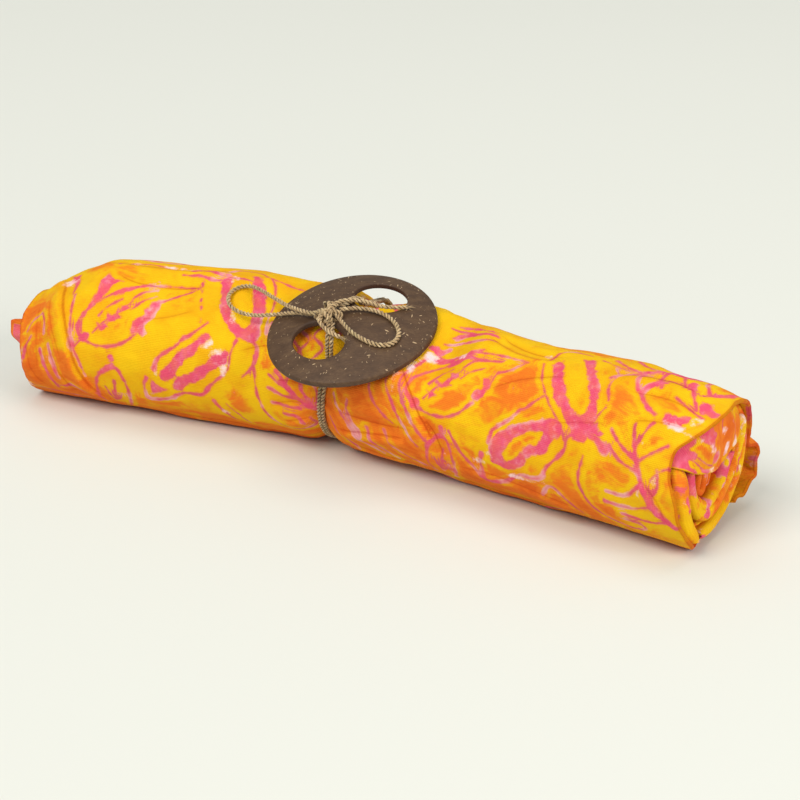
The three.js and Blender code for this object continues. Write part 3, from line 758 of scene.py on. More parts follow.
def makeTwine():
    # the two bow strands: each leaves the knot as a loop, comes back through it and ends free
    loop, short, long = [onBuckle(*twine[key].T) for key in ("rightLoop", "shortEnd", "longEnd")]
    right, left, tips, runs, tie = [Heap() for _ in range(5)]
    rightLine = layStrand(right, np.concatenate([loop, short]), 11, 0.4, twine["slack"])
    leftLine = layStrand(left, np.concatenate([twine["leftLoop"], long]), 12, 1.1)
    right = right.piece("bow_strand_right", fibre)
    left = left.piece("bow_strand_left", fibre)
    frayEnd(tips, short, 21, 11, 5.5)
    frayEnd(tips, long, 22, 7, 4.0)
    tips = tips.piece("frayed_tips", fibre)
    for piece, line, nodes, ends in (
        (right, rightLine, ("bow_loop_right", "twine_end_short"), [tips]),
        (left, leftLine, ("bow_loop_left", "twine_end_long"), []),
    ):
        line = inMetres(line)
        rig.cord(
            piece,
            exit=tuple(line[0]),
            length=float(np.sum(stepsOf(line))),
            diameter=twine["width"] * mm,
            far_end="bare",
            stiffness="limp",
            lay="loose",
            path=[tuple(p) for p in line[::3]] + [tuple(line[-1])],
            with_pieces=ends,
        )
        dress(piece, "twine", *nodes)
    dress(tips, "twine")
    # the two runs round the roll, with more painted shade in their grooves
    layStrand(runs, twineRunLine(-1), 13, 0.2, deep=0.84)
    layStrand(runs, twineRunLine(1), 14, 1.7, deep=0.84)
    runs = dress(runs.piece("twine_runs", fibre), "twine", "twine_run_left", "twine_run_right")
    # the knot: short wraps round the strands
    for index, (wide, tall, turn, along, across, height, tip) in enumerate(twine["wraps"]):
        a = np.linspace(0, 2 * math.pi * 1.12, 15)
        flat = wide * np.cos(a)
        p, q = turned(flat, (a / (2 * math.pi) - 0.5) * 2.2, -turn)
        line = onBuckle(*twine["knot"]) + (p + along)[:, None] * longAxis + (q + across)[:, None] * shortAxis
        line = line + (tall * np.sin(a) + height + flat * tip)[:, None] * buckle["up"]
        layStrand(tie, line, 31 + index, index)
    tie = dress(tie.piece("knot_wraps", fibre), "twine", "twine_knot")
    return [right, left, runs, tie]


# loose fibres, so many to a square metre of twine
stray = {"Density": 34000.0, "Seed": 5, "Long": 0.0026, "Thick": 0.00006}


def fibreNodes():
    # short bent fibres standing off whatever they are set on
    group = bpy.data.node_groups.new("strayFibres", "GeometryNodeTree")
    inputs = {}
    kinds = {"Geometry": "Geometry", "Density": "Float", "Seed": "Int", "Long": "Float", "Thick": "Float"}
    for name, kind in {**kinds, "Fibre": "Material"}.items():
        made = group.interface.new_socket(name=name, in_out="INPUT", socket_type="NodeSocket" + kind)
        inputs[name] = made.identifier
    group.interface.new_socket(name="Geometry", in_out="OUTPUT", socket_type="NodeSocketGeometry")
    make = Maker(group)
    given = group.nodes.new("NodeGroupInput").outputs
    add = lambda kind, sockets, settings=None, out=0: make.node("GeometryNode" + kind, settings, sockets, out)
    sockets = {"Mesh": given["Geometry"], "Density": given["Density"], "Seed": given["Seed"]}
    points = add("DistributePointsOnFaces", sockets)
    bend = {"Resolution": 5, "Start": (0, 0, -0.1), "Middle": (0.5, 0, 0.1), "End": (0.9, 0.2, 0.4)}
    size = make.node("CombineXYZ", None, {0: given["Long"], 1: given["Long"], 2: given["Long"]})
    bent = add("Transform", {"Geometry": add("CurveQuadraticBezier", bend), "Scale": size})
    ring = add("CurvePrimitiveCircle", {"Resolution": 3, "Radius": given["Thick"]})
    fibre = add("CurveToMesh", {"Curve": bent, "Profile Curve": ring, "Fill Caps": True})
    random = {2: 0.35, 3: 1.0, "Seed": given["Seed"]}
    vary = make.node("FunctionNodeRandomValue", {"data_type": "FLOAT"}, random, 1)
    rotation = points.socket.node.outputs["Rotation"]
    sockets = {"Points": points, "Instance": fibre, "Rotation": rotation, "Scale": vary}
    setOn = add("InstanceOnPoints", sockets)
    random = {0: (-0.3, -0.3, 0.0), 1: (0.3, 0.3, 6.28), "Seed": given["Seed"]}
    spin = make.node("FunctionNodeRandomValue", {"data_type": "FLOAT_VECTOR"}, random)
    setOn = add("RotateInstances", {"Instances": setOn, "Rotation": spin})
    real = add("RealizeInstances", {"Geometry": setOn})
    stored = {"data_type": "FLOAT", "domain": "POINT"}
    real = add("StoreNamedAttribute", {"Geometry": real, "Name": "depth", "Value": 1.0}, stored)
    real = add("SetMaterial", {"Geometry": real, "Material": given["Fibre"]})
    make.node("NodeGroupOutput", None, {"Geometry": real})
    return group, inputs


def strayFibres(pieces):
    points = []
    faces = []
    for piece in pieces:
        faces += [[len(points) + v for v in face.vertices] for face in piece.data.polygons]
        points += [tuple(vertex.co) for vertex in piece.data.vertices]
    mesh = bpy.data.meshes.new("hostTwine")
    mesh.from_pydata(points, [], faces)
    host = addObject("hostTwine", mesh)
    group, inputs = fibreNodes()
    modifier = host.modifiers.new("fibres", "NODES")
    modifier.node_group = group
    for name, value in {**stray, "Fibre": fibre}.items():
        modifier[inputs[name]] = value
    made = bpy.data.meshes.new_from_object(host.evaluated_get(bpy.context.evaluated_depsgraph_get()))
    host.modifiers.clear()
    bpy.data.objects.remove(host)
    bpy.data.meshes.remove(mesh)
    made.name = "stray_fibres"
    for vertex in made.vertices:
        vertex.co.z = max(vertex.co.z, 0.0)  # those under the roll lie on the floor
    dress(addObject("stray_fibres", made), "twine")
    print("sarong: stray fibres", len(made.polygons), "faces")


strayFibres(makeTwine())
print("sarong: twine and bow")

# The batik: leaves, seed pods and ferns in wax-resist, drawn in cloth millimetres
clothPerDegree = 0.672  # millimetres of cloth to one degree round the roll


def shapesOf(text):
    # parts lie between semicolons: a brush line has three columns (along, across, width), a filled shape two
    # (along, across), with its hole after a bar
    return [[rows(table) for table in part.split("|")] for part in text.split(";")]


# each motif is about one unit long
motifs = {
    "outline": """
        0 0 3, 0 -.2 2.2, .1 -.37 2, .26 -.45 1.5, .42 -.48 1.8; .34 -.44, .42 -.53, .58 -.52, .76 -.4,
        .58 -.4, .44 -.37; .62 -.45 2.2, .78 -.3 1.3, .9 -.15 1.1, 1.02 .02 1; -.04 .02, .02 -.08, .08 0,
        .06 .1, -.02 .1; 0 .04 2.6, .08 .24 1.6, .2 .38 2.2, .34 .42 1.5, .5 .36 1.9; .1 .02 1.2,
        .22 -.06 1.8, .36 -.1 1.2, .5 -.18 .8; .2 -.2 1, .3 -.28 1.2, .42 -.3 .8; .5 -.22 1, .6 -.28 2,
        .7 -.26 .9; .46 -.04 .8, .56 -.1 1.1, .68 -.1 .8
    """,
    "tip": """
        -.16 .41, -.1 .28, -.05 .2, .01 .2, .03 .04, .08 .06, .15 -.03, .13 .12, .06 .3, -.04 .37;
        .06 .24 2.2, .16 .06 1.6, .24 .06 1.2
    """,
    "mark": "-1 .1, -.5 -.02, -.3 -.15, .3 -.05, 1 -.13, .8 .03, 1.1 .08, 0 .07",
    "eye": """
        -.3 -.12 4.6, -.24 -.24 2.2, -.2 -.27 2.6, -.04 -.34 1.8, .06 -.42 2.6, .12 -.43 1.5, .3 -.54 1.1;
        -.42 0 3.4, -.48 .1 1.4, -.54 .3 2.8, -.54 .38 4.2, -.46 .42 2.4, -.3 .42 3.2, -.14 .36 1.8,
        0 .43 3.4, .08 .43 3.6, .18 .32 1.6, .36 .2 2.6, .42 .12 1.5, .46 -.04 1.6, .54 -.22 2.6
    """,
    "bars": """
        -.3 .08, -.26 -.06, -.14 -.16, -.04 -.28, .12 -.34, .28 -.42, .32 -.32, .18 -.2, .04 -.1, -.08 .02,
        -.2 .14; -.22 .28, -.16 .12, 0 .06, .18 -.02, .32 -.1, .46 -.1, .42 .06, .26 .14, .12 .22, -.04 .25,
        -.14 .33; -.5 .33, -.44 .16, -.38 .02, -.33 .16, -.24 .27, -.36 .29
    """,
    "ring": """
        -.38 .2, -.34 -.08, -.2 -.3, 0 -.36, .24 -.34, .4 -.28, .42 -.06, .3 .08, .22 .22, .04 .24,
        -.06 .36, -.24 .36 | -.22 .2, -.17 .03, -.04 -.11, .12 -.15, .22 -.1, .15 0, .02 .03, -.09 .16
    """,
    "pod": """
        -.52 -.36, -.46 -.58, -.22 -.56, .02 -.6, .24 -.5, .42 -.32, .52 -.1, .6 .16, .5 .4, .34 .46,
        .12 .56, -.1 .62, -.3 .56, -.5 .46, -.54 .26 | -.68 .13, -.66 -.19, -.3 -.26, 0 -.29, .21 -.21,
        .3 -.05, .26 .11, .06 .21, -.2 .23, -.5 .2; -.62 -.5 1, -.72 -.24 1.8, -.76 .1 1.2, -.68 .4 1.6,
        -.56 .6 1; -.48 .72 1.4, -.3 .8 1, 0 .76 1.2, .3 .62 1, .5 .6 1.8
    """,
    "stem": "0 0 5.2, .3 .04 4.4, .62 -.02 3.2, 1 -.1 2; .2 -.12, .36 -.08, .52 0, .44 .14, .28 .18, .12 .06",
    "bud": """
        0 0 4.6, .1 .2 3, .3 .4 2.6, .66 .48 2, 1 .4 1.2; 0 0 2.4, .08 -.16 2.4, .4 -.26 1.5, .72 -.24 2.6,
        1.06 -.12 2.2; .3 0 1.4, .56 .06 2.6, .84 .12 1; .5 .26 1, .7 .2 2.4, .88 .13 1; .6 -.1 .8,
        .74 0 1.8, .86 .12 1; -.16 .03 3.4, -.12 0 3
    """,
    "petals": """
        0 .1, .16 -.22, .44 -.34, .66 -.16, .9 -.22, 1 .02, .7 .1, .4 -.02, .2 .16; .02 .42 1.4, .35 .3 3,
        .72 .42 2.6, 1 .3 1.2
    """,
    "blot": "-.5 -.1, -.2 -.5, .1 -.26, .46 -.42, .5 .06, .26 .2, .1 .5, -.26 .3",
    "husk": "-.5 -.2, -.2 -.3, .1 -.5, .5 -.5, .4 -.1, .5 .5, .2 .26, -.1 .3, -.5 .24",
    "sprig": "-.5 -.16, -.2 -.5, .1 -.2, .3 -.4, .5 0, .2 .3, -.1 .3, -.3 .5",
    "crown": "-.5 .1, -.3 -.4, -.05 -.5, .1 -.2, .3 -.35, .5 0, .2 .2, 0 .1, -.2 .35",
}
motifs = {name: shapesOf(text) for name, text in motifs.items()}
# where the motifs stand: x, angle, tilt, length, width
motifPlaces = {
    "frontLeaf": "-151 165 -33 67 31",
    "leaf": """
        47 164 -37 60 34, -158 42 12 62 -30, 44 44 8 62 30, -170 262 6 60 30, 22 284 -168 62 -30,
        -160 318 -12 60 -28, 84 326 -14 62 30
    """,
    "bud": "-133 185 92 31 25, 64 184 92 28 20, -112 4 20 32 20, 66 2 -8 34 -20, -60 352 10 30 18",
    "openEye": "-91 178 -20 58 36, 134 22 -14 52 34, -82 262 24 50 34",
    "closedEye": "108 173 -25 57 41, -72 34 18 52 42, 112 268 -8 54 42",
    "pod": "-67 121 68 40 -20, 128 124 56 46 19, -26 20 76 38 26, 52 258 12 40 26, 36 322 80 38 24",
    "blot": """
        -85.6 141 80 4 3, -40 156 10 9 8, 46 112 -20 13 8, 144 149 40 10 9, 177 90 64 9 8, 186 -16 10 9 7,
        190 108 30 12 11, 180 128 -20 15 10, 97 134 40 4 3, -167 106 60 11 8
    """,
    "petals": """
        -106 92 6 26 12, 44 94 -6 28 16, 42 79 8 30 10, -174 14 30 26 18, -6 48 -20 22 16, 20 356 0 30 18
    """,
    "fern": "12 62 118 50 40, 182 60 148 52 38, -30 316 176 58 40",
    "shortFern": "184 262 184 46 36",
    "husk": "-144 122 -70 19 12",
    "sprig": "-116 143 -62 25 11",
    "crown": "56 120 -6 26 7",
}
# single brush lines: x, angle, width
vines = shapesOf("""
    -152 162 1.8, -152 150 2.2, -149 140 2.8, -145 130 4.6; -160 128 .9, -159 146 1.5, -158 162 1.4,
    -156 174 2.6, -153 184 1.6, -150 198 .9; -156 174 2.2, -153 169 1.4, -150 166 1.8; -144 96 .8,
    -136 91 1.4, -127 90 1.2, -117 92 .6; -188 216 1.4, -178 224 1.8, -162 228 1.2, -148 229 .8;
    -14 196 4.9, -22 190 5.2, -30 180 4.1, -40 168 3; -18 190 4.1, -22 178 2.8, -24 164 2.1; -26 186 2.8,
    -34 186 1.8, -44 182 2.6; -24 194 2.6, -32 195 1.8, -42 194 2.8; -30 178 2.8, -38 176 1.8, -44 172 2;
    -32 176 2.8, -32 166 2.1, -36 156 3; -14 190 2.8, -14 178 2, -18 168 1.5; -24 208 1.8, -28 202 3.6,
    -36 202 1.8; -53 160 1.2, -52 176 1.4, -50 194 1.8, -46 210 1.4, -38 218 1.6, -28 217 1.6, -18 212 1.8,
    -20 204 1.4; -77 203 3.4, -73 214 2.2, -69 226 1; -70 204 1, -65 216 1.8, -61 228 1; -60 146 3,
    -54 152 2.2, -52 160 3.2, -54 170 2, -59 178 1.4; -48 132 2, -44 142 2.8, -46 150 3.4, -40 160 2.2;
    -40 126 1.4, -41 138 2.2, -34 148 2, -30 156 2.6; -30 132 1.2, -33 142 1.6, -26 150 1.4, -22 160 1.2;
    -26 126 1.2, -29 135 1.8, -22 142 1.2, -27 152 1.6; -16 128 1.2, -20 138 1.6, -13 145 1.2, -18 156 1.8;
    -96 92 1, -84 97 2, -72 96 1.2, -62 100 .8; -64 86 .8, -50 88 1.3, -38 94 1.2, -28 102 .8; 42 112 3,
    50 118 2, 60 116 3, 72 118 2, 84 114 1; 44 122 2.2, 41 136 2, 39 150 1.6, 42 164 2.8, 48 178 1.8,
    56 192 1.2; 36 126 1.4, 33 140 2, 32 156 1.6, 36 170 2.6, 42 184 1.8, 50 198 1.2; 132 158 2,
    138 152 3.4, 146 154 5, 152 160 8; 189 205 4.9, 181 194 4.1, 175 181 4.4, 170 166 3.6, 166 150 3,
    164 138 2; 173 176 3, 165 188 1.8, 155 189 2.5; 179 190 3.3, 168 198 1.8, 154 198 2.8; 186 201 3.3,
    176 207 2, 162 206 2.6; 168 160 2.8, 160 154 1.8, 153 145 2.1; 170 168 2.8, 161 164 1.8, 154 156 2.1;
    166 152 2.5, 169 144 1.8, 172 134 2; 169 162 2.6, 175 154 1.8, 182 146 2.1; 177 186 2.8, 181 176 2,
    180 164 2.1; 142 168 1.2, 140 186 1.8, 144 204 1.4, 152 216 1.8, 164 222 1.8, 172 218 2.8, 170 212 1.6,
    160 212 1.2; 186 198 1.2, 180 188 1.4, 177 176 1.2, 180 166 1.4, 186 160 1.2; 146 132 1, 143 142 1.2,
    146 150 1; 128 86 .6, 138 91 1.2, 148 93 .8, 156 92 .6; 138 94 .6, 142 102 1, 142 114 1, 146 126 1.2;
    166 98 2.4, 159 104 4, 158 112 2.4, 164 122 3.6, 170 127 2.4; 184 96 1.2, 189 84 3.2, 191 72 4.2,
    192 60 3; 191 40 2, 190 28 2.6, 188 16 1.2; 190 352 1.2, 191 340 3, 189 328 2; 190 312 1.2, 188 304 2.2,
    190 294 1.4; 177 92 4, 182 104 3, 186 112 2; 174 108 .8, 181 112 1.2, 190 117 2.6; 160 94 .8,
    168 93 1.2, 175 96 1.6; 68 178 1.4, 76 196 2, 86 214 2.4; 0 176 1.8, 5 190 1.6, 14 206 2.2, 26 220 1.2;
    10 176 1.2, 9 190 2.2, 16 204 1.4; 20 196 2.4, 24 208 2.8, 34 222 1; -4 196 2, 2 208 1.6, 10 222 2.4;
    30 194 1.2, 38 208 1.8, 50 220 1.4; 22 160 1.4, 26 174 1.8, 36 186 1.2; 118 212 2.6, 124 200 1.4,
    132 212 1.8, 138 224 1; -186 70 1.4, -168 62 2, -150 66 1.6, -132 74 1.2; 90 66 1.2, 106 56 1.8,
    124 54 2, 150 60 1.4; -60 66 1.2, -44 60 1.8, -36 46 1.6, -40 30 1.4; -177 172 2.2, -175 188 3.6,
    -172 204 2.8, -170 216 1.6; -171 168 1.6, -169 184 3.2, -166 200 2.4; -186 152 1.4, -183 142 1.8,
    -178 139 1.6, -174 146 2.2, -174 158 1.6; -188 178 3.2, -186 166 2.4, -182 158 1.2; -171 98 1.6,
    -166 106 4.4, -163 116 3.4, -162 126 1.2; -168 212 1.6, -160 208 2.4, -152 214 1.6
""")
# dye that ran: orange clouds, and pale places where the wax kept it out: x, angle, long, wide, tilt, amount. The long
# warm bands at angles 226, 249 and 274, low on the front and under the roll, are painted shade: the cloth deeper
# orange towards the floor
clouds = {
    "warm": rows("""
        -190 160 12 34 0 .85, -178 180 11 22 0 .8, -170 229 46 8 0 1, -167 198 12 14 0 1,
        -160 190 6 12 20 .8, -174 150 8 10 0 .7, -186 132 8 10 0 .8, -112 214 24 4 0 .5, -150 208 14 9 0 .9,
        -8 196 26 14 0 .9, 60 214 70 7 0 .9, 136 214 30 7 0 .8, -128 150 8 6 0 .4, -104 122 10 5 0 .4,
        -64 196 8 6 0 .6, -178 200 20 17 20 1, -156 216 26 9 10 .9, -137 105 11 5 0 .35,
        -152 94 22 6 -10 .5, -176 128 8 8 0 .45, -46 136 9 14 0 .8, -42 162 12 14 0 .7, -24 170 12 12 0 .6,
        -20 206 18 6 0 .6, -66 208 12 5 0 .7, -24 138 14 12 0 .8, 50 226 150 4 0 .55, -60 226 60 4 0 .5,
        100 150 60 40 0 .16, 150 190 40 30 0 .14, 104 140 12 12 0 .7, 66 156 10 5 -30 .6, 24 152 14 12 0 .8,
        -108 214 18 4 0 .5, 12 186 34 20 0 1.05, 22 170 13 13 0 .7, 34 158 14 20 20 .85,
        60 200 34 11 0 1.05, 96 210 34 8 0 .95, 92 124 18 14 0 .8, 76 150 16 12 -30 .5, 54 184 16 10 0 .8,
        46 140 5 14 0 .7, 110 172 16 8 -20 .6, 150 124 12 7 0 .6, 140 214 12 6 0 .6, 172 150 10 7 0 .6,
        158 176 12 16 0 .5, 128 206 24 10 0 .8, 160 210 18 8 0 .6, 180 180 8 12 0 .5, 152 140 12 12 0 .45,
        184 120 12 6 0 .5, 168 108 14 5 0 .5, -14 112 14 8 0 .7, -166 30 28 18 0 .9, -96 58 24 8 0 .6,
        -20 6 34 12 10 .9, 70 26 30 10 0 .8, 120 70 24 8 0 .5, 170 30 22 16 0 .9, -120 282 44 14 0 .9,
        0 262 30 14 0 .9, 92 296 40 12 0 .9, 176 290 20 18 0 .8, -40 336 44 14 0 .9, 140 350 36 16 0 .8,
        -150 350 36 16 0 .8, 176 -16 14 14 0 .6, 190 -6 5 12 0 .7, 186 14 8 14 0 .8, 190 66 8 12 0 .7,
        191 40 6 12 0 .8, 188 322 8 20 0 .9, 189 346 8 10 0 .7, 0 274 400 24 0 .7, 0 249 420 9 0 1.5
"""),
    "pale": rows("""
        -73 165 8 5 30 .75, -78 158 7 4 0 .65, -70 176 3 8 0 .6, -70 132 3 9 0 .55, -168 110 5 6 0 .9,
        -110 90 12 2.4 0 1, -190 205 2.4 26 0 .9, -78 98 4 4 0 .65, -135 91 9 2.6 0 .7, 186 -16 3 8 0 .7,
        191 24 3 8 0 .6, 190 300 3 8 0 .9, 190 336 2 6 0 .7, -64 104 2.4 6 0 .4, -58 146 4 6 0 .6,
        -108 184 2 5 0 .6, -62 188 2.4 7 30 .7, 45 122 5 5 30 1, 40 138 2.6 9 0 .9, 36 152 2.2 8 0 .6,
        62 116 5 2.4 0 .8, 72 148 3.4 5 40 .65, 98 94 7 2.6 0 .9, 82 174 3 7 20 .7, 90 186 5 4 0 .6,
        86 196 7 2.4 0 .9, 106 201 12 2.2 0 .8, 184 133 10 3 10 1, 178 128 4 3 0 .7, 190 122 5 4 0 .7,
        163 196 7 2 0 .45, 150 186 5 2 0 .35, 172 182 2 7 20 .6, 180 172 2 6 0 .6, 160 166 2 8 20 .4,
        170 146 2 6 -20 .5, 66 206 2.4 8 0 .5, -72 214 3 6 0 .5, 110 218 6 3 0 .5, -176 176 2 8 10 .4,
        -188 168 2 8 0 .5, 176 90 4 3 0 .4, -120 30 9 4 20 .9, -40 36 6 4 0 .8, 30 20 8 4 0 .9,
        100 40 9 4 0 .9, 160 10 8 5 0 .9, -20 70 8 3 0 .7, -90 250 10 4 0 .8, 60 280 9 5 0 .8,
        150 250 9 4 0 .8, -10 300 10 4 0 .8, -120 330 10 5 0 .8, 110 330 9 4 0 .8
"""),
}


def toSegment(points, a, b):
    # the way from points to a segment, and the share along it where they meet
    d = b - a
    t = np.clip((points - a) @ d / max(d @ d, 1e-9), 0, 1)
    return a + t[:, None] * d - points, t


def nearLine(place, line, margin):
    return ((place > line.min(0) - margin) & (place < line.max(0) + margin)).all(-1)


def closedDistance(place, line):
    # how far points lie from a closed line, below 0 inside it
    best = np.full(len(place), 99.0)
    inside = np.zeros(len(place), bool)
    for a, b in zip(line, np.roll(line, -1, axis=0)):
        best = np.minimum(best, np.linalg.norm(toSegment(place, a, b)[0], axis=1))
        if a[1] != b[1]:
            crosses = (a[1] > place[:, 1]) != (b[1] > place[:, 1])
            inside ^= crosses & (place[:, 0] < a[0] + (place[:, 1] - a[1]) * (b[0] - a[0]) / (b[1] - a[1]))
    return np.where(inside, -best, best)


def closedCurve(points):
    return curveThrough(np.concatenate([points, points[:1]]), 1.6)[:-1]


class Batik:
    # the dye at the cloth's points: filled shapes, brush lines and clouds
    def __init__(self, u, angle):
        self.place = np.stack([u, angle * clothPerDegree], -1)
        self.ink = np.full(u.shape, 8.0)
        self.gap = np.full(u.shape, 8.0)
        self.way = np.full(u.shape + (3,), [6.0, 6.0, 0.5])
        self.pale = np.zeros(u.shape)
        self.warm = np.zeros(u.shape)

    def stroke(self, points, width):
        # a brush line; the way to its middle is kept, so that thin lines stay whole between points
        points = curveThrough(points, 1.6)
        width = np.where(width > 1.4, 1.4 + (width - 1.4) * 0.62, width)
        width = np.interp(np.linspace(0, 1, len(points)), np.linspace(0, 1, len(width)), width)
        mask = nearLine(self.place, points, 9)
        place, best, way = self.place[mask], self.gap[mask], self.way[mask]
        for k in range(len(points) - 1):
            off, t = toSegment(place, points[k], points[k + 1])
            half = (width[k] + (width[k + 1] - width[k]) * t) / 2
            value = np.linalg.norm(off, axis=1) - half
            closer = value < best
            best = np.where(closer, value, best)
            way = np.where(closer[:, None], np.column_stack([off, half]), way)
        self.gap[mask] = best
        self.way[mask] = way

    def patch(self, edge, hole=None):
        edge = closedCurve(edge)
        mask = nearLine(self.place, edge, 9)
        value = closedDistance(self.place[mask], edge)
        if hole is not None:
            value = np.maximum(value, -closedDistance(self.place[mask], closedCurve(hole)))
        self.ink[mask] = np.minimum(self.ink[mask], value)

    def draw(self, parts, x=0, angle=0, tilt=0, long=1, wide=1):
        for tables in parts:
            shapes = [turned(table[:, 0] * long, table[:, 1] * wide, -tilt) for table in tables]
            shapes = [np.stack(shape, -1) + [x, angle * clothPerDegree] for shape in shapes]
            if tables[0].shape[1] == 3:
                self.stroke(shapes[0], tables[0][:, 2])
            else:
                self.patch(*shapes)

    def cloud(self, kind, x, angle, long, wide, tilt, amount):
        p, q = turned(self.place[..., 0] - x, self.place[..., 1] - angle * clothPerDegree, tilt)
        value = amount * bell(np.hypot(p / long, q / wide) ** 1.3)
        layer = getattr(self, kind)
        layer[...] = 1 - (1 - layer) * (1 - np.clip(value, 0, 1))

    def values(self, table):
        for kind, places in table.items():
            for place in places:
                self.cloud(kind, *place)
        return {"ink": self.ink, "gap": self.gap, "way": self.way, "pale": self.pale, "warm": self.warm}


def fern(pairs):
    # a stem with pairs of leaflets, shorter towards its tip
    parts = [*motifs["stem"]]
    for k in range(pairs):
        s = 0.06 + 0.82 * k / pairs
        reach = 0.5 * (1 - 0.34 * k / pairs)
        parts.append([np.array([(s, 0, 3.2), (s + 0.09, -0.2, 2), (s + 0.1, -reach, 3.2)])])
        parts.append([np.array([(s + 0.07, 0, 3), (s + 0.2, 0.2, 1.9), (s + 0.26, reach, 3)])])
    return parts


def leaf(tipAt):
    # its outline, a shape that begins at tipAt and runs to the tip, and three marks along its middle
    tip, line = [tables[0] for tables in motifs["tip"]]
    line = np.vstack([line + [tipAt, 0, 0], [1.02, 0.02, 1]])
    parts = [*motifs["outline"], [tip + [tipAt, 0]], [line]]
    for s, q, size in ((0.18, 0, 1), (0.29, -0.06, 1.3), (0.41, -0.13, 0.9)):
        mark = motifs["mark"][0][0] * [0.07 * size, 1]
        mark[2, 1] *= size  # its point
        parts.append([mark + [s, q]])
    return parts


def drawBatik(u, angle):
    batik = Batik(u, angle)
    made = {"leaf": leaf(0.6), "frontLeaf": leaf(0.53), "fern": fern(4), "shortFern": fern(3)}
    ring = [[table * [1, 0.76] for table in tables] for tables in motifs["ring"]]
    made = {**made, "openEye": motifs["eye"] + motifs["bars"], "closedEye": motifs["eye"] + ring}
    for name, places in motifPlaces.items():
        for place in rows(places):
            batik.draw({**motifs, **made}[name], *place)
    batik.draw(vines, wide=clothPerDegree)
    for step in range(4):  # a dotted line
        dash = rows("-93.6 106 1.5, -93.1 108.4 1.3") + [2 * step, 8 * step, 0]
        batik.draw([[dash]], wide=clothPerDegree)
    return batik.values(clouds)


cloth = {
    "rows": 330,
    "columns": 240,
    "columnAngles": rows("0 -26, .24 78, .72 232, 1 396"),  # by share of the columns
    "innerEvery": 6,  # the inner face is this much coarser along the roll
    "hemRound": 0.9,
    "creaseScale": 2.1,
    "weaveSize": 0.9,  # millimetres between threads that show
    "yellow": tint(232, 187, 14),
    "amber": tint(226, 165, 12),
    "orange": tint(228, 120, 30),
    "deepOrange": tint(214, 92, 22),
    "pink": tint(220, 78, 110),
    "rose": tint(234, 138, 160),
    "mauve": tint(206, 90, 96),
    "white": tint(246, 220, 224),
    # folds, listed one by one: height, gentle side, sharp side, then the line it follows, by x and angle
    "creases": """
        1.6 8 1.8 | -178 96, -172 114, -168 130, -163 150, -159 172, -155 192, -149 212, -142 230;
        .5 4 1.6 | -177 122, -173 138, -169 156, -166 172, -163 188; .4 5 2 | -186 122, -183 140, -181 156,
        -181 176, -182 198; .6 4 2 | -173 170, -170 186, -165 202, -160 220; .5 5 2.5 | -189 156, -187 180,
        -184 202, -178 220; .6 4 2 | -188 104, -178 108, -170 106; .8 6 3 | -160 92, -140 97, -118 98,
        -98 94, -74 92; -.7 5 4 | -146 104, -128 112, -106 112, -88 108; .5 5 3 | -152 84, -130 86, -104 84,
        -80 80; .5 6 4 | -120 150, -104 146, -88 138; -.6 5 5 | -64 160, -50 152, -38 150, -26 152;
        .7 4 2.4 | -46 132, -32 140, -20 150; .7 4 2.4 | -40 178, -28 176, -18 178; -.6 4 3 | -44 196,
        -30 190, -20 190; .6 3.5 2.4 | -38 214, -27 208, -18 206; .7 4 2.4 | 2 172, 12 168, 26 160, 40 148;
        -.7 5 4 | 0 188, 14 190, 30 190, 48 186; .8 4 2.6 | -3 206, 10 206, 26 202, 46 198; .6 5 3 | 4 222,
        18 226, 40 228; 1 7 3 | 30 138, 42 158, 50 176, 58 198; -.9 6 5 | 52 172, 60 186, 64 204; .7 6 3 |
        64 96, 82 104, 96 106, 112 102; -.8 7 4 | 70 84, 86 92, 98 94, 110 92; .6 6 3 | 84 144, 96 132,
        108 124, 122 118; .6 6 4 | 66 214, 92 212, 118 218, 140 226; -.5 6 5 | 120 152, 136 146, 150 142;
        .7 5 3 | 142 104, 156 98, 170 98, 184 102; -.6 5 3 | 150 114, 164 110, 178 112, 190 116; .6 5 3 |
        150 82, 166 84, 182 84; .6 4 3 | 160 140, 174 136, 190 134; .6 5 4 | 170 176, 178 188, 182 204;
        .7 8 3 | -150 60, -120 52, -88 54, -58 62; -.6 6 4 | -130 30, -98 34, -66 30; .8 5 3 | -44 40,
        -30 32, -20 26; .7 5 3 | -6 44, 10 52, 34 56; -.6 6 4 | -2 22, 20 20, 44 26; .8 7 3 | 60 40, 90 34,
        120 36, 150 44; .7 6 3 | 100 64, 130 62, 160 68; .7 6 3 | 120 8, 150 6, 180 12; .6 6 3 | -180 20,
        -150 12, -120 6; .6 8 4 | -120 244, -80 240, -44 246; .6 8 4 | 40 246, 80 240, 130 246
""",
}


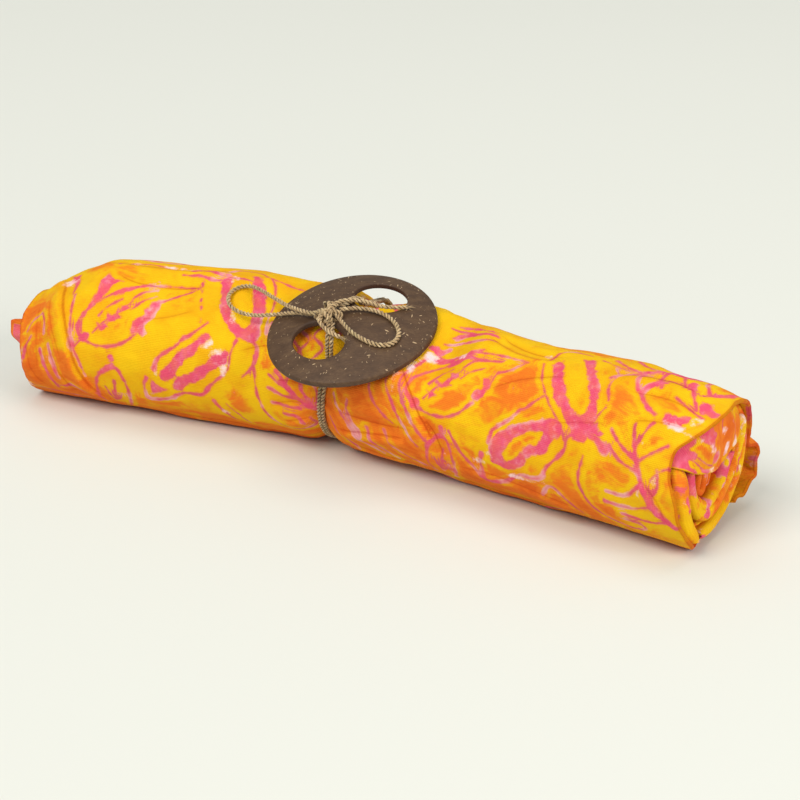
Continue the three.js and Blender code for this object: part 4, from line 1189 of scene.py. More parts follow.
def creaseHeight(u, angle):
    # the listed folds, each steeper on one side, then a little unevenness
    v = angle * clothPerDegree
    place = np.stack([u, v], -1)
    height = np.zeros(u.shape)
    shade = np.zeros(u.shape)
    fold = np.full(u.shape, 6.0)
    for crease in cloth["creases"].split(";"):
        sizes, line = [rows(table) for table in crease.split("|")]
        rise, gentle, sharp = sizes[0]
        line = curveThrough(line * [1, clothPerDegree], 4.0)
        mask = nearLine(place, line, 22)
        best = np.full(mask.sum(), 1e9)
        side = best * 0
        share = best * 0
        for k, (a, b) in enumerate(zip(line[:-1], line[1:])):
            off, t = toSegment(place[mask], a, b)
            gap = np.linalg.norm(off, axis=1)
            closer = gap < best
            best = np.where(closer, gap, best)
            side = np.where(closer, np.sign((b - a)[1] * off[:, 0] - (b - a)[0] * off[:, 1]), side)
            share = np.where(closer, (k + t) / (len(line) - 1), share)
        width = np.where(side > 0, gentle, sharp * 0.8)
        fade = ease(share / 0.22) * ease((1 - share) / 0.22)
        height[mask] += rise * cloth["creaseScale"] * bell(best / width) * (0.15 + 0.85 * fade)
        # painted shade: a shade strength at the sharp side's foot, and the signed way to it for a fine dark line
        foot = -0.9 * sharp if rise > 0 else 0.0
        away = np.clip(side * best - foot, -6, 6)
        strength = fade * min(1.0, abs(rise)) * bell(away / 1.5)
        stronger = strength > shade[mask]
        shade[mask] = np.where(stronger, strength, shade[mask])
        fold[mask] = np.where(stronger, away, fold[mask])
    uneven = 0.42 * smoothNoise(u, v, 17, 3) + 0.24 * smoothNoise(u, v * 1.6, 8, 4)
    uneven = uneven + 0.07 * smoothNoise(u, v, 3.2, 5)
    gathers = 0.45 * bell((u - pinchAt(angle)) / 26) * smoothNoise(u * 0.16, v, 3.4, 6)
    edge = ease((np.abs(u) - 150) / 40)
    return height + uneven + gathers + edge * 0.3 * smoothNoise(u * 0.35, v, 5.5, 7), shade, fold


def hemWave(u, angle):
    # the free corner at the right end is ruffled
    near = ease((u - 152) / 34) * ease((14 - angle) / 20)
    return near * (1.7 * np.sin(angle * 0.42 + u * 0.16) + 1.1 * np.sin(u * 0.55 + 1.3))


def outerCloth(material):
    count, columns, wall = cloth["rows"], cloth["columns"], roll["clothWall"]
    x = np.linspace(-roll["halfLength"], roll["halfLength"], count)[:, None]
    first = roll["lapEdge"] - roll["lapDrop"] * ease((x - 148) / 38)
    share = read(cloth["columnAngles"], np.linspace(0, 1, columns)) - roll["lapEdge"]
    angle = first + (roll["lapEnd"] - first) * share / (roll["lapEnd"] - roll["lapEdge"])
    x = np.broadcast_to(x, angle.shape)
    u = stretched(x, angle)[0]
    hidden = ease((angle - 318) / 20)  # no folds where the free edge lies over it
    height, shade, fold = creaseHeight(u, angle)
    height = height * (1 - hidden) + hemWave(u, angle)
    outer = outerFace(x, angle) + outward(outerFace, x, angle) * height[..., None]
    outer[..., 2] = np.maximum(outer[..., 2], 0)
    alongX = np.gradient(outer, axis=0)
    normal = unit(np.cross(np.gradient(outer, axis=1), alongX))
    low = outer[..., 2]
    # painted shade: a dark line low on the cloth where it meets the floor, and along its cut edge at each end
    nearFloor = ease((2.2 - low) / 1.8) * ease(low / 0.3) * ease((angle - 150) / 30)
    rim = ease((np.abs(x) - roll["halfLength"] + 0.5) / 0.4)
    shade = np.maximum(shade, np.maximum(1.4 * nearFloor, rim))
    fold = np.where(np.maximum(nearFloor, rim) > 0.6, 0.2, fold)
    pick = np.unique([*range(0, count, cloth["innerEvery"]), count - 1])
    inner = (outer - normal * wall)[pick]
    inner[..., 2] = np.maximum(inner[..., 2], wall * 0.98)
    # the wall's rounded edges: one more line of points, a little outside, half way through
    ends = []
    for i, way in ((0, -1), (-1, 1)):
        ends.append(outer[i] - normal[i] * wall / 2 + unit(alongX[i]) * way * cloth["hemRound"])
    points = np.concatenate([outer.reshape(-1, 3), inner.reshape(-1, 3), *ends])
    half = count * columns
    ring = half + len(pick) * columns
    faces = gridFaces(count, columns) + gridFaces(len(pick), columns, half, True)
    # each end's first point in the outer face, on the wall's edge and in the inner face
    rims = ((0, ring, half), (half - columns, ring + columns, ring - columns))
    for j in range(columns - 1):
        for top, edge, low in rims:
            way = 1 if top else -1
            faces.append([top + j, top + j + 1, edge + j + 1, edge + j][:: -way])
            faces.append([edge + j, edge + j + 1, low + j + 1, low + j][:: -way])
    # the long edges, where one step of the inner face meets several of the outer one
    sides = ((0, 1), (columns - 1, -1))
    for k in range(len(pick) - 1):
        for j, way in sides:
            a = half + k * columns + j
            fine = [i * columns + j for i in range(pick[k], pick[k + 1] + 1)]
            strip = [[a, after, before] for before, after in zip(fine, fine[1:])]
            faces += [face[::way] for face in [*strip, [a, a + columns, fine[-1]]]]
    for j, way in sides:
        for top, edge, low in rims:
            faces.append([top + j, edge + j, low + j][:: way if edge == ring else -way])
    values = {}
    for key, data in {**drawBatik(u, angle), "shade": shade, "fold": fold}.items():
        data = data.reshape(count, columns, -1)
        parts = [part.reshape(-1, data.shape[-1]) for part in (data, data[pick], data[0], data[-1])]
        values[key] = np.squeeze(np.concatenate(parts))
    place = np.stack([u, angle * clothPerDegree], -1)
    uv = np.concatenate([part.reshape(-1, 2) for part in (place, place[pick], place[0], place[-1])])
    return makePiece("outer_cloth", points, faces, material, values, uv)


def clothMaterial():
    material, make = newMaterial("batik_cloth", cloth["yellow"])
    where = make.place()
    weave = make.node("UVMap", {"uv_map": "weave"})
    ragged = (make.noise(where, 420.0, 3.0, 0.6) - 0.5) * 1.5 + (make.noise(where, 1300.0) - 0.5) * 0.7
    uneven = make.noise(where, 190.0) - 0.5
    clouds = make.noise(where, 60.0, 4.0, 0.55)
    streaks = make.noise(where, 170.0, 3.0, 0.6)
    # ground: yellow to amber to orange
    swirl = make.noise(make.scaled(weave, (0.055, 0.1, 1.0)), 1.0, 4.0, 0.6, 2.2)
    warm = make.attribute("warm") + (clouds - 0.5) * 0.8 + (swirl - 0.5) * 1.3 + (streaks - 0.5) * 0.35
    # brush lines: the way to the line's middle, and a guard where two lines' ways meet
    way = make.attribute("way", 1)
    across, along, half = [make.node("SeparateXYZ", None, {0: way}, k) for k in range(3)]
    line = ((across * across + along * along) ** 0.5 - half).sum("MAXIMUM", make.attribute("gap") - 0.8)
    # printed shapes, their edges bled into the ground
    patch = make.attribute("ink") + ragged * 1.15 + uneven * 4.0 + 0.7
    ink = patch.sum("MINIMUM", line + ragged * 0.6 + uneven * 2.4 + 0.12)
    halo = make.step(ink, 1.3, 0.2) * 0.35
    warm = warm - make.step(ink, 3.8, 1.4) * 0.42 + 0.06
    ground = make.mix(make.step(clouds, 0.35, 0.7), cloth["yellow"], cloth["amber"])
    ground = make.mix(make.step(warm, 0.12, 0.82), ground, cloth["orange"])
    ground = make.mix(make.step(warm, 0.8, 1.3) * 0.75, ground, cloth["deepOrange"])
    faded = make.step(make.noise(where, 130.0, 4.0, 0.6), 0.45, 0.8)
    body = make.mix(faded * 0.55, cloth["pink"], cloth["rose"])
    body = make.mix(make.step(warm, 0.5, 1.1) * 0.55, body, tint(226, 88, 84))
    body = make.mix(make.step(streaks, 0.4, 0.66) * 0.42, body, tint(228, 116, 74))
    washed = make.step(make.noise(where, 240.0, 3.0, 0.65), 0.52, 0.7)
    body = make.mix(washed * 0.14, body, cloth["white"])
    thin = make.step(half, 1.3, 0.7) * make.step(patch, 0.0, 0.6)
    body = make.mix(make.step(ink, -0.9, 0.1) * 0.4, body, cloth["mauve"])
    body = make.mix(thin * 0.75, body, cloth["mauve"])
    colour = make.mix(halo, ground, cloth["orange"])
    colour = make.mix(make.step(ink, 0.6, -0.6), colour, body)
    rim = make.step((ink - 0.5).sum("MAXIMUM", 0.5 - ink), 3.0, 0.6)
    washedRim = make.step(make.noise(where, 42.0, 3.0, 0.6), 0.52, 0.68) * rim
    colour = make.mix(washedRim * make.step(ink, 0.8, 0.0) * 0.38, colour, cloth["white"])
    grainy = make.noise(where, 620.0, 3.0, 0.65) - 0.5
    pale = make.attribute("pale") * (rim * 0.5 + 0.6)
    pale = pale + (streaks - 0.5) * 1.5 + (swirl - 0.5) * 0.8 + grainy * 0.8
    colour = make.mix(make.step(pale, 0.45, 1.1) * 0.85, colour, cloth["white"])
    # painted shade at the foot of each fold, and wherever else the shade attribute is set: a soft shade and a fine
    # dark line
    shade = make.attribute("shade")
    foot = make.attribute("fold")
    foot = make.step(foot.sum("MAXIMUM", 0 - foot), 0.75, 0.1) * shade
    colour = make.paintShade(shade * 0.35, colour, (226, 140, 100))
    colour = make.paintShade(foot * 0.5, colour, (188, 84, 62))
    # thread by thread: a fine uneven weave, with painted shade on the lower threads
    size = cloth["weaveSize"]
    threads, picks = [
        make.node(
            "TexWave",
            {"wave_type": "BANDS", "bands_direction": direction, "wave_profile": "SIN"},
            {"Vector": weave, "Scale": scale, "Distortion": bent, "Detail": 2.0, "Detail Scale": 1.4},
        )
        for direction, scale, bent in (("Y", 0.314 / size, 1.2), ("X", 0.36 / size, 1.0))
    ]
    slubs = make.noise(make.scaled(weave, (0.16, 1.2, 1.0)), 1.3)
    woven = threads * 0.55 + picks * 0.35 + slubs * 0.5
    raised = make.step(woven, 0.2, 1.1)
    # painted shade: the lower threads darker
    colour = make.paintShade((1 - raised) * 0.2, colour, (226, 176, 150))
    sockets = {"Base Color": colour, "Roughness": raised * -0.12 + 0.9, "Specular IOR Level": 0.12}
    make.finish(sockets, woven, 0.5, 0.0004)
    return material


batikCloth = clothMaterial()
outer = dress(outerCloth(batikCloth), "batik_cloth", "outer_turn")
print("sarong: outer turn of cloth")

# Folds at the roll's right end, each in four tables: how far it stands out and its width, both by share along
# it; its line across the end, back and up from the roll's line; and its dye by share: orange, pink, pale.
endFolds = {
    "column": (
        "0 -3, .2 1, .5 2.2, 1 4",
        "0 8, .3 10, .7 9, 1 6",
        "-27.5 12, -28 4, -27.6 -4, -26 -13, -22.8 -22, -18 -29.5",
        """
            0 .8 .75 0, .12 .9 .6 0, .25 1 .45 0, .38 .9 .35 .1, .46 .6 .5 0, .54 .2 .25 0, .66 0 0 0,
            .78 0 .15 .1, .84 .2 .55 0, .9 .2 .1 0, 1 .5 .2 .3
        """,
    ),
    "hook": (
        "0 -1, .2 1, .6 1, .85 2, 1 1",
        "0 7, .2 7, .5 6.8, .8 6, 1 4.4",
        """
            -18.5 6, -17.5 -3, -14.5 -12, -9.5 -19.5, -2 -22.5, 6 -20.5, 14 -14, 21 -5, 25 4, 26.5 11,
            24.8 15.6, 21 14.6, 19.2 8, 17 2
        """,
        """
            0 .3 .95 .1, .1 .3 .75 .2, .16 .2 .3 .3, .22 .1 .1 .1, .28 .6 .25 0, .33 .3 .6 .1, .38 .4 .2 0,
            .46 .3 .1 0, .54 .4 .3 .3, .6 .6 .45 0, .66 .5 .2 .4, .74 .3 .1 .7, .82 0 0 1, .9 .2 0 .6,
            1 .5 .1 .2
        """,
    ),
    "outerLap": (
        "0 2, .3 0, .6 -1, 1 -1",
        "0 6, .5 6.4, 1 5.4",
        "-13 -29, -4 -30.5, 6 -29.8, 15 -27, 23 -21, 29 -12, 31.6 0, 31.4 9, 28.8 16, 24 21.5, 17 25, 8 26.6",
        """
            0 .2 .6 .2, .08 .1 .3 .3, .16 .2 .1 .6, .22 .3 .1 .1, .34 .3 .2 0, .42 .4 .2 .7, .5 .3 .45 .3,
            .6 .7 .6 .1, .68 .6 .45 .2, .78 .9 .2 0, .9 1.1 .15 0, 1 1 .3 0
        """,
    ),
    "pinkRoll": (
        "0 2, .4 1, 1 -1",
        "0 7, .4 6.6, 1 5",
        "15 3.5, 12.5 -2, 9.5 -8.5, 4.5 -14.5, -1.5 -17.5, -7 -16.5, -11 -11",
        "0 .3 1 .2, .3 .3 1 0, .42 .1 .35 0, .5 .1 .1 0, .62 .2 .1 0, .74 .3 .5 0, 1 .8 .5 0",
    ),
    "smallLoop": (
        "0 -3, 1 -3",
        "0 4.2, 1 3.6",
        "-6 1, -7.5 -5, -6.4 -10, -3.4 -11.5, -1.6 -7, -.6 -2, .6 1.5",
        "0 1.5 .1 .1, .5 1.6 .2 0, 1 1.3 .4 .2",
    ),
    "innerLoop": (
        "0 -4, 1 -4",
        "0 4.4, 1 4",
        "3 2.5, 2.4 -4, 1.4 -9.5, 4 -9, 6.6 -3, 7.6 2.5",
        "0 1.4 .2 0, .5 1.4 .5 0, 1 1.2 .5 0",
    ),
    "innerLap": (
        "0 -4, 1 -3",
        "0 4, 1 3.6",
        "-12 -27, -3 -28, 6 -26.5, 14 -22.5, 21 -15, 26.5 -5, 28.6 5, 28 12",
        "0 .9 .2 0, .4 .3 .8 0, .6 .9 .2 0, 1 .6 .6 0",
    ),
}
bandStep = 1.6  # millimetres between a fold's rings


def dyeValues(warm, pink, pale, shade):
    # the batik's values where cloth has no pattern
    far = np.full(warm.shape, 8.0)
    values = {"ink": 4.2 - 7.5 * pink, "gap": far, "way": np.stack([far, far, far * 0 + 0.5], -1)}
    return {**values, "pale": pale, "warm": warm, "shade": shade, "fold": far}


def dyedAndShaded(share, table, run=0.0, inward=0.0, sideways=0.0):
    # a fold's own dye, with streaks that run along it and in with the cloth, and painted shade that deepens the
    # further in a point lies
    run = run + share * 0
    sideways = sideways + inward + share * 0
    share = share + 0.03 * smoothNoise(run, sideways, 2.6, 90)
    dyes = []
    for k, (amount, long, small) in enumerate(((0.5, 3.4, 5.0), (0.36, 2.6, 3.4), (0.3, 2.0, 2.6))):
        streaks = smoothNoise(run * 0.42, sideways, long, 70 + k) + smoothNoise(run, sideways, small, 80 + k)
        dyes.append(np.interp(share, table[:, 0], table[:, k + 1]) + streaks * amount)
    # painted shade: darker deeper into the fold
    return dyeValues(*dyes, 2.6 * ease((inward - 0.5) / 1.4) + share * 0)


def foldBand(end, fold, depth, seed):
    # one folded layer: a rounded edge that runs along its line, and its two sides going in
    out, width, line, dye = fold
    line = curveThrough(line, bandStep)
    count = len(line)
    share = np.linspace(0, 1, count)
    ahead = unit(np.gradient(line, axis=0))
    taper = 1 - (np.clip(np.abs(share - 0.5) * 2 - 1, -1, 0) + 1) ** 14
    half = read(width, share) / 2 * np.sqrt(np.clip(taper, 0.02, 1))
    a = np.linspace(-math.pi / 2, math.pi / 2, 9)
    across = np.concatenate([[-0.7, -0.9, -1.0], np.sin(a), [1.0, 0.9, 0.7]])
    inward = np.concatenate([[depth, depth * 0.55, 4.6], 1 - np.cos(a), [4.6, depth * 0.55, depth]])
    n = len(across)
    curl = np.arange(n) % (n - 3) >= 3
    wave = 0.5 * smoothNoise(share * 40, np.zeros(count), 5, 40 + seed)
    back = line[:, :1] - ahead[:, 1:] * half[:, None] * across
    up = line[:, 1:] + ahead[:, :1] * half[:, None] * across
    stand = (read(out, share) + wave)[:, None] - np.where(curl, inward * half[:, None] * 0.95, inward)
    points = endPoint(end, stand, back, up).reshape(-1, 3)
    faces = gridFaces(count, n, 0, end < 0)
    # close the two ends of the band and its deep side
    last = (count - 1) * n
    faces += [list(range(n))[::-end], list(range(last, last + n))[::end]]
    faces += [[i + n - 1, i + 2 * n - 1, i + n, i][::end] for i in range(0, last, n)]
    run = np.repeat(share * count * bandStep, n)
    sideways = (half[:, None] * np.concatenate([[-1.6] * 3, a, [1.6] * 3])).ravel() + seed * 31
    values = dyedAndShaded(np.repeat(share, n), dye, run, np.tile(inward, count), sideways)
    uv = [np.tile(inward + np.cumsum(np.abs(np.diff(across, prepend=0))) * 3, count), run]
    return points, faces, values, np.stack(uv, -1)


def endPoint(end, out, back, up):
    # a point at one end of the roll
    away = end * (roll["halfLength"] - roll["endInset"] + out)
    return offLine(end * roll["endAt"], away, back, roll["endMiddle"] + up)


def innerTube():
    # the next turn in, a tube inside the outer one, closed by a sunken face at each end
    x = np.concatenate([[-170], np.linspace(-166, 166, 110), [170]])
    grid, around = np.meshgrid(x, np.arange(0, 360, 6.0) + 60, indexing="ij")
    face = lambda x, angle: outerPoint(alongPinch(x, angle), angle)
    a = around % 360
    under = np.where(a > 180, ease((a - 285) / 40), ease((58 - a) / 16))
    inset = roll["clothWall"] + 1.4 + (roll["clothWall"] + 0.45) * under
    points = face(grid, around) - outward(face, grid, around) * inset[..., None]
    n = around.shape[1]
    faces = gridFaces(len(x), n, 0, False, True)
    last = (len(x) - 1) * n
    first = last + n
    points = np.concatenate([points.reshape(-1, 3), [points[0].mean(0), points[-1].mean(0)]])
    for j in range(n):
        k = (j + 1) % n
        faces += [[first, j, k], [first + 1, last + k, last + j]]
    # deep orange dye, and darkened all over: painted shade inside the roll
    values = dyedAndShaded(np.zeros(len(points)), rows("0 1.5 .35 0, 1 1.5 .35 0"), 0.0, 9.0)
    uv = np.concatenate([np.stack([grid, around * clothPerDegree], -1).reshape(-1, 2), [[0, 0], [0, 0]]])
    return points, faces, values, uv


leftEnd = {
    # by angle: how far out the layers lie as they wind in, as a share of the roll
    "winding": rows("""
        52 .79, 90 .8, 135 .815, 180 .8, 225 .8, 270 .785, 315 .755, 360 .72, 405 .665, 450 .59, 495 .51,
        540 .475, 585 .49, 630 .535, 675 .52, 720 .47, 765 .39, 810 .31, 855 .26, 900 .235, 990 .225, 1060 .19
    """),
    "dye": rows("""
        0 .9 0 0, .06 .9 .2 0, .1 .8 1 0, .13 .6 1 0, .2 .9 0 0, .35 0 0 0, .5 .9 .4 0, .65 0 0 .5,
        .8 .5 .8 0, 1 .2 0 0
    """),
    # the corner that sticks out, by height: how far it stands out, how far forward it lies
    "flap": rows(
        "24 .5 -29, 28 5 -30, 31 8 -30.5, 34 10.6 -30.5, 37 11.8 -30, 40 11.8 -29, 42 10.6 -28.5, 43 5 -28"
    ),
    "flapWall": 2.0,
}


def leftSpiral():
    # the layers as they wind in at the left end
    angle = np.linspace(52, 1060, 90)
    a = np.radians(angle)
    reach = read(leftEnd["winding"], angle) * 0.9
    width, top = [read(roll["sections"], -186.0, k) for k in (1, 2)]
    back = reach * width * np.cos(a)
    up = reach * (top + 1.4) / 2 * np.sin(a) + (top - 0.7) / 2 - roll["endMiddle"]
    out = np.column_stack([np.linspace(0, 1, len(a)), 1.2 * np.sin(a * 0.7) - 1.5])
    return out, rows("0 5, 1 5"), np.column_stack([back, up]), leftEnd["dye"]


def closedSheet(front, back, flip=False):
    # points and faces of a thin sheet from its two sides
    tall, wide = front.shape[:2]
    count = tall * wide
    faces = gridFaces(tall, wide, 0, not flip) + gridFaces(tall, wide, count, flip)
    grid = np.arange(count).reshape(tall, wide)
    rim = [*grid[:, 0], *grid[-1, 1:], *grid[-2::-1, -1], *grid[0, -2:0:-1]]
    for a, b in zip(rim, rim[1:] + rim[:1]):
        faces.append([b, a, a + count, b + count] if flip else [a, b, b + count, a + count])
    return np.concatenate([front.reshape(-1, 3), back.reshape(-1, 3)]), faces


def cornerFlap():
    # a corner of the cloth that sticks out of the left end
    z, s = np.meshgrid(np.linspace(43, 24, 26), np.linspace(0, 1, 16), indexing="ij")
    x = -186 - (read(leftEnd["flap"], z) + 5) * s
    y = read(leftEnd["flap"], z, 2) - 1.6 * np.sin(math.pi * s) + 2.5 * s + 0.5 * np.sin(z * 0.8 + s * 3)
    front = np.stack([x, y, z - 1.5 * s], -1)
    hem = (1 - 0.7 * ease((s - 0.86) / 0.14))[..., None]
    back = front + [0, leftEnd["flapWall"], 0] * hem
    points, faces = closedSheet(front + [0, 0.5, 0] * (1 - hem), back, True)
    out, low = np.tile([s.ravel(), z.ravel()], 2)
    pink = ease((0.87 - out) / 0.1) * ease((41.4 - low) / 1.6) * ease((low - 27) / 4)
    none = out * 0
    return points, faces, dyeValues(none + 1, pink, none, none), np.stack([out * 14, low], -1)


def rolledLayers(material):
    heap = Heap()
    heap.add(*cornerFlap())
    heap.add(*innerTube())
    for index, fold in enumerate(endFolds.values()):
        heap.add(*foldBand(1, [rows(table) for table in fold], 26.0, index))
    heap.add(*foldBand(-1, leftSpiral(), 22, 20))
    return heap.piece("rolled_layers", material)


layers = dress(rolledLayers(batikCloth), "batik_cloth", "inner_turns")

tuck = {
    # by angle on the outer turn's edge: its lower edge's back and up from the roll's line, and how far out
    "edge": rows("58 17 13 1.5, 76 9 7.5 1.5, 96 0 2.5 1.5, 118 -9 1.5 1, 140 -19 4.5 0, 160 -27 9 -1"),
    "rows": 70,
    "columns": 30,
    "drop": 26,  # millimetres of cloth from its upper edge to its lower one
    "pattern": shapesOf("""
        -3 1, 6 0, 15 2, 23 3, 26 8, 23 13, 19 11, 16 9, 13 12, 15 15, 11 18, 7 15, 4 19, -3 17;
        -3 22, 2 20, 6 21, 9 24, 12 26, 13 30, 9 29, 7 33, 4 31, -3 34; 14 27, 18 26, 19 31, 16 34, 13 31;
        20 19, 24 18, 26 24, 22 26; 17 45, 21 44, 22 48, 18 50;
        3 12 1.8, 8 13 1.4, 13 17 1, 18 22 1.2, 20 27 .8; 12 12 2, 17 16 1.4, 22 20 1.6;
        1 40 1, 5 39 1.4, 9 41 .8
    """),
    "lowLine": rows("3 60, 9 58, 16 56, 22 58"),
    "lowWidths": np.array([0.8, 1.4, 1.0]),
    "clouds": {
        "warm": rows("""
            13 40 9 14 0 1.1, 8 68 10 12 0 1.1, 16 90 9 10 0 1, 21 58 6 12 0 .9, 3 50 5 12 0 .9,
            20 24 6 12 0 .8, 9 20 4 12 0 .6, 20 74 5 8 0 .8
        """),
        "pale": rows("""
            17 70 8 3 20 .9, 8 62 2.6 5 0 .8, 22 86 6 4 0 .9, 23 44 3 6 0 1, 11 40 5 3 30 .8, 5 78 6 3 10 .7,
            4 30 2 6 0 .5, 14 20 2 6 0 .5
        """),
    },
}


def tuckedFold(material):
    # the fold that hangs over the upper part of the right end
    edge = float(roll["halfLength"])
    along = np.linspace(160, 58, tuck["rows"])
    angle, v = np.meshgrid(along, np.linspace(0, 1, tuck["columns"]), indexing="ij")
    t = ease(v * 1.02) * 0.35 + v * 0.65
    at, droop = stretched(np.full(angle.shape, edge), angle)
    rim = outerPoint(at, angle, droop + roll["clothWall"] + 0.75)
    rim[..., 0] = np.minimum(rim[..., 0], at) - 2.2
    y, z, out = [read(tuck["edge"], angle, k) for k in (1, 2, 3)]
    low = offLine(edge, edge + out, y, 37.5 + z)
    front = rim + (low - rim) * t[..., None]
    # folds that fan down from the edge, and a rolled lower lip
    fan = 0.9 * np.sin(np.radians(angle) * 9 + v * 2.2 + 0.6) * np.sin(math.pi * v) + 2 * np.sin(math.pi * v)
    lip = ease((v - 0.8) / 0.2)
    front[..., 0] += fan + 0.5 * smoothNoise(angle, v * 30, 9, 51) + 1.2 * lip - 1.6 * ease((v - 0.94) / 0.06)
    back = front.copy()
    back[..., 0] -= roll["clothWall"] + 1.6 * lip
    points, faces = closedSheet(front, back)
    batik = Batik(v * tuck["drop"], 160 - angle)
    batik.draw(tuck["pattern"])
    batik.stroke(tuck["lowLine"], tuck["lowWidths"])
    values = {}
    # painted shadow: darker just below the outer turn's edge, with a fine dark line at its top
    for key, data in {**batik.values(tuck["clouds"]), "shade": bell(v / 0.1), "fold": 60 * v}.items():
        data = data.reshape(v.size, -1)
        values[key] = np.squeeze(np.concatenate([data, data]))
    uv = batik.place.reshape(-1, 2)
    return makePiece("tucked_fold", points, faces, material, values, np.concatenate([uv, uv]))


tucked = dress(tuckedFold(batikCloth), "batik_cloth", "tucked_corner")
print("sarong: folds at the ends")


def ovalPoint(oval, count, inset):
    # points on an oval, moved inwards by inset
    along, across, long, short, turn = oval
    a = np.arange(count) * 2 * math.pi / count
    normal = unit(np.stack([np.cos(a) / long, np.sin(a) / short], -1)) * inset
    p, q = turned(long * np.cos(a) - normal[:, 0], short * np.sin(a) - normal[:, 1], -turn)
    return np.stack([along + p, across + q], -1)


def flatMesh(loops, rims):
    # a loose grid of points clear of every rim, joined in triangles between them
    edge = buckle["edgeRound"]
    steps = np.arange(-44, 44.1, buckle["grain"])
    gx, gy = np.meshgrid(steps, steps, indexing="ij")
    gx = gx + np.where(np.arange(len(steps)) % 2, buckle["grain"] / 2, 0)
    inside = ovalReach(gx, gy, buckle["rim"], -2.3) < 1
    for hole in buckle["holes"]:
        inside &= ovalReach(gx, gy, hole, 2.2) > 1
    flat = np.concatenate([*rims, np.stack([gx[inside], gy[inside]], -1)])
    edges = []
    start = 0
    for _, count, _ in loops:
        edges += [(start + k, start + (k + 1) % count) for k in range(count)]
        start += count
    verts, _, cells, _, _, _ = delaunay_2d_cdt([Vector(p) for p in flat], edges, [], 0, 1e-5)
    flat = np.array([tuple(p) for p in verts])
    faces = []
    for cell in cells:
        centre = flat[list(cell)].mean(0)
        clear = min(ovalReach(*centre, hole, edge * 0.9) for hole in buckle["holes"]) > 1
        if clear and ovalReach(*centre, buckle["rim"], -edge) <= 1:
            (ax, ay), (bx, by), (cx, cy) = flat[list(cell[:3])]
            upright = (bx - ax) * (cy - ay) - (by - ay) * (cx - ax) >= 0
            faces.append(list(cell) if upright else list(cell)[::-1])
    return flat, faces


def shellBuckle(material):
    edge, thick = buckle["edgeRound"], buckle["thickness"]
    loops = [(buckle["rim"], 168, 1)] + [(hole, 84, -1) for hole in buckle["holes"]]
    rims = [ovalPoint(oval, count, edge * way) for oval, count, way in loops]
    flat, top = flatMesh(loops, rims)
    uneven = 0.16 * smoothNoise(*flat.T, 13, 61) + 0.05 * smoothNoise(*flat.T, 4, 62)
    n = len(flat)
    points = [onBuckle(*flat.T, uneven), onBuckle(*flat.T, -thick + uneven * 0.5)]
    faces = top + [[v + n for v in face[::-1]] for face in top]
    side = [np.zeros(n), np.full(n, 0.5)]
    total = 2 * n
    # the rounded edge from the upper face to the lower one: inset, height, how far round
    turns = [(1 - math.sin(t), 1 - math.cos(t), t / (math.pi / 2)) for t in np.linspace(0, math.pi / 2, 5)]
    profile = [(edge * inset, -edge * down, 0.15 + 0.85 * share) for inset, down, share in turns[1:]]
    profile += [(0, -thick * 0.5, 1.0)]
    profile += [(edge * down, -thick + edge * inset, 1 - 0.5 * share) for inset, down, share in turns[:-1]]
    first = 0
    for oval, count, way in loops:
        rings = [list(range(first, first + count))]
        for inset, height, share in profile:
            rise = uneven[first : first + count] * (1 - share) * 0.6
            points.append(onBuckle(*ovalPoint(oval, count, inset * way).T, height + rise))
            # how dark the cut wall is: the outer edge a little, the holes' walls fully, their extra darkness being
            # painted shade
            side.append(np.full(count, share if way < 0 else share * 0.45))
            rings.append(list(range(total, total + count)))
            total += count
        rings.append([v + n for v in rings[0]])
        for above, below in zip(rings[:-1], rings[1:]):
            for k in range(count):
                m = (k + 1) % count
                faces.append([above[k], below[k], below[m], above[m]][::way])
        first += count
    return makePiece("shell_buckle", np.concatenate(points), faces, material, {"cut": np.concatenate(side)})


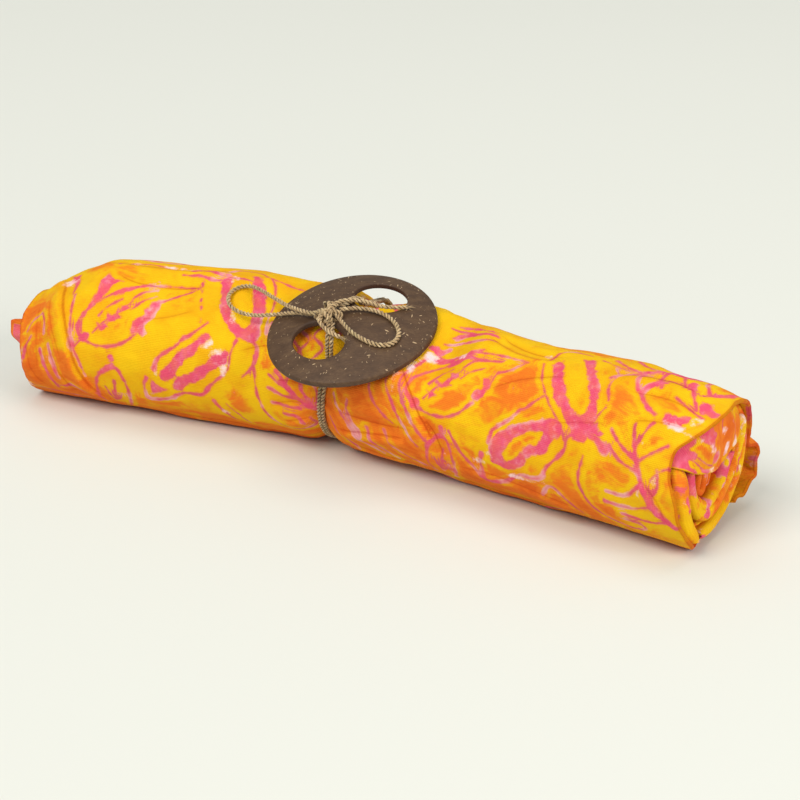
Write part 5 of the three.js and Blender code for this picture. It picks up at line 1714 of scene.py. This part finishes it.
def shellMaterial():
    material, make = newMaterial("coconut_shell", tint(104, 84, 71))
    where = make.place()
    spot = make.node("Mapping", None, {"Vector": where, "Rotation": (0.35, 0.05, -0.42)})
    cut = make.attribute("cut")
    grain = make.noise(make.scaled(spot, (1.0, 2.6, 1.0)), 120.0, 5.0, 0.62)
    fineGrain = make.noise(make.scaled(spot, (1.0, 5.0, 1.0)), 520.0, 3.0, 0.6)
    stops = [(0.25, (54, 36, 21)), (0.5, (78, 56, 37)), (0.78, (104, 80, 54))]
    colour = make.node("ValToRGB", {"stops": stops}, {"Fac": grain * 0.6 + fineGrain * 0.4})
    # short pale fibres set in the shell, each turned its own way
    flecks = None
    for scale, long, wide, few in (
        (270.0, 0.0012, 0.00022, 0.46),
        (420.0, 0.0007, 0.00018, 0.6),
        (700.0, 0.0003, 0.00015, 0.74),
    ):
        centre, pick = [
            make.node("TexVoronoi", {"feature": "F1"}, {"Vector": spot, "Scale": scale}, k) for k in (2, 1)
        ]
        chance, turn, size = [make.node("SeparateColor", None, {0: pick}, k) for k in range(3)]
        off = make.node("VectorMath", {"operation": "SUBTRACT"}, {0: spot, 1: centre})
        spun = make.node("VectorRotate", {"rotation_type": "Z_AXIS"}, {"Vector": off, "Angle": turn * 6.3})
        shape = make.scaled(spun, (1 / long, 1 / wide, 1 / long))
        reach = make.node("VectorMath", {"operation": "LENGTH"}, {0: shape}, 1)
        size = size * 0.7 + 0.4
        fleck = make.step(reach, size * 1.15, size * 0.7) * make.step(chance, few, few + 0.08)
        flecks = flecks + fleck - flecks * fleck if flecks else fleck
    flecks = flecks * (1 - cut * 0.7)
    colour = make.mix(flecks * (fineGrain * 1.1 + 0.2), colour, tint(212, 182, 140))
    pits = make.step(make.noise(where, 700.0), 0.64, 0.74)
    colour = make.mix(pits * 0.35, colour, tint(60, 45, 36))
    # darker on the lower face and the cut walls: the shell's own cut tone, with painted shade inside the holes
    colour = make.mix(make.step(cut, 0.25, 0.85) * 0.75, colour, tint(66, 46, 36))
    rough = grain * 0.2 + 0.42 + cut * 0.15
    sockets = {"Base Color": colour, "Roughness": rough, "Specular IOR Level": 0.3}
    make.finish(sockets, grain * 0.5 + fineGrain * 0.5 + flecks * 0.3 - pits * 0.4, 0.3, 0.0003)
    return material


dress(shellBuckle(shellMaterial()), "coconut_shell", "coconut_buckle")
print("sarong: buckle")

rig.sheet(outer, flat=(0.382, 0.297), held="folded", rests_on=["rolled_layers"])
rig.sheet(layers, flat=(0.38, 0.15), held="folded", rests_on=["outer_cloth"])
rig.sheet(tucked, flat=(0.066, 0.024), held="folded", rests_on=["rolled_layers"])
print("sarong: sheets")

studio = {
    "floor": tint(218, 220, 212),
    "world": (1.0, 1.0, 0.985, 1.0),
    "worldStrength": 0.48,
    # name, place, size, power, colour
    "lights": [
        ("overhead", (-0.2, 0.4, 3.4), 2.4, 22.0, (1.0, 0.99, 0.965)),
        ("sideRight", (2.9, -0.5, 1.35), 1.6, 52.0, (1.0, 0.985, 0.95)),
        ("frontFill", (-1.2, -5.6, 6.4), 4.8, 462.0, (1.0, 0.985, 0.96)),
    ],
}


def addStudio():
    material, make = newMaterial("pale_floor", studio["floor"])
    mottle = make.noise(make.place(), 3.0)
    colour = make.mix(mottle * 0.25, studio["floor"], tint(214, 216, 207))
    make.finish({"Base Color": colour, "Roughness": 0.75})
    mesh = bpy.data.meshes.new("floor")
    mesh.from_pydata([(-5, -4, 0), (5, -4, 0), (5, 7, 0), (-5, 7, 0)], [], [(0, 1, 2, 3)])
    mesh.materials.append(material)
    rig.stage(addObject("floor", mesh))
    for name, place, size, power, colour in studio["lights"]:
        data = bpy.data.lights.new(name, "AREA")
        data.shape = "DISK"
        data.size = size
        data.energy = power
        data.color = colour
        lamp = addObject(name, data)
        lamp.location = place
        lamp.rotation_euler = (Vector(place) - Vector((0, 0, 0.03))).to_track_quat("Z", "Y").to_euler()
    world = bpy.data.worlds.new("studio")
    world.use_nodes = True
    background = world.node_tree.nodes["Background"]
    background.inputs["Color"].default_value = studio["world"]
    background.inputs["Strength"].default_value = studio["worldStrength"]
    bpy.context.scene.world = world
    bpy.context.scene.view_settings.view_transform = "Standard"


addStudio()
print("sarong: floor and lights")

json.dump(
    {
        "cad": [list(map(float, corner)) for corner in cadBox],
        "visual": [list(map(float, corner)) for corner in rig.bounds()],
    },
    open("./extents.json", "w"),
)
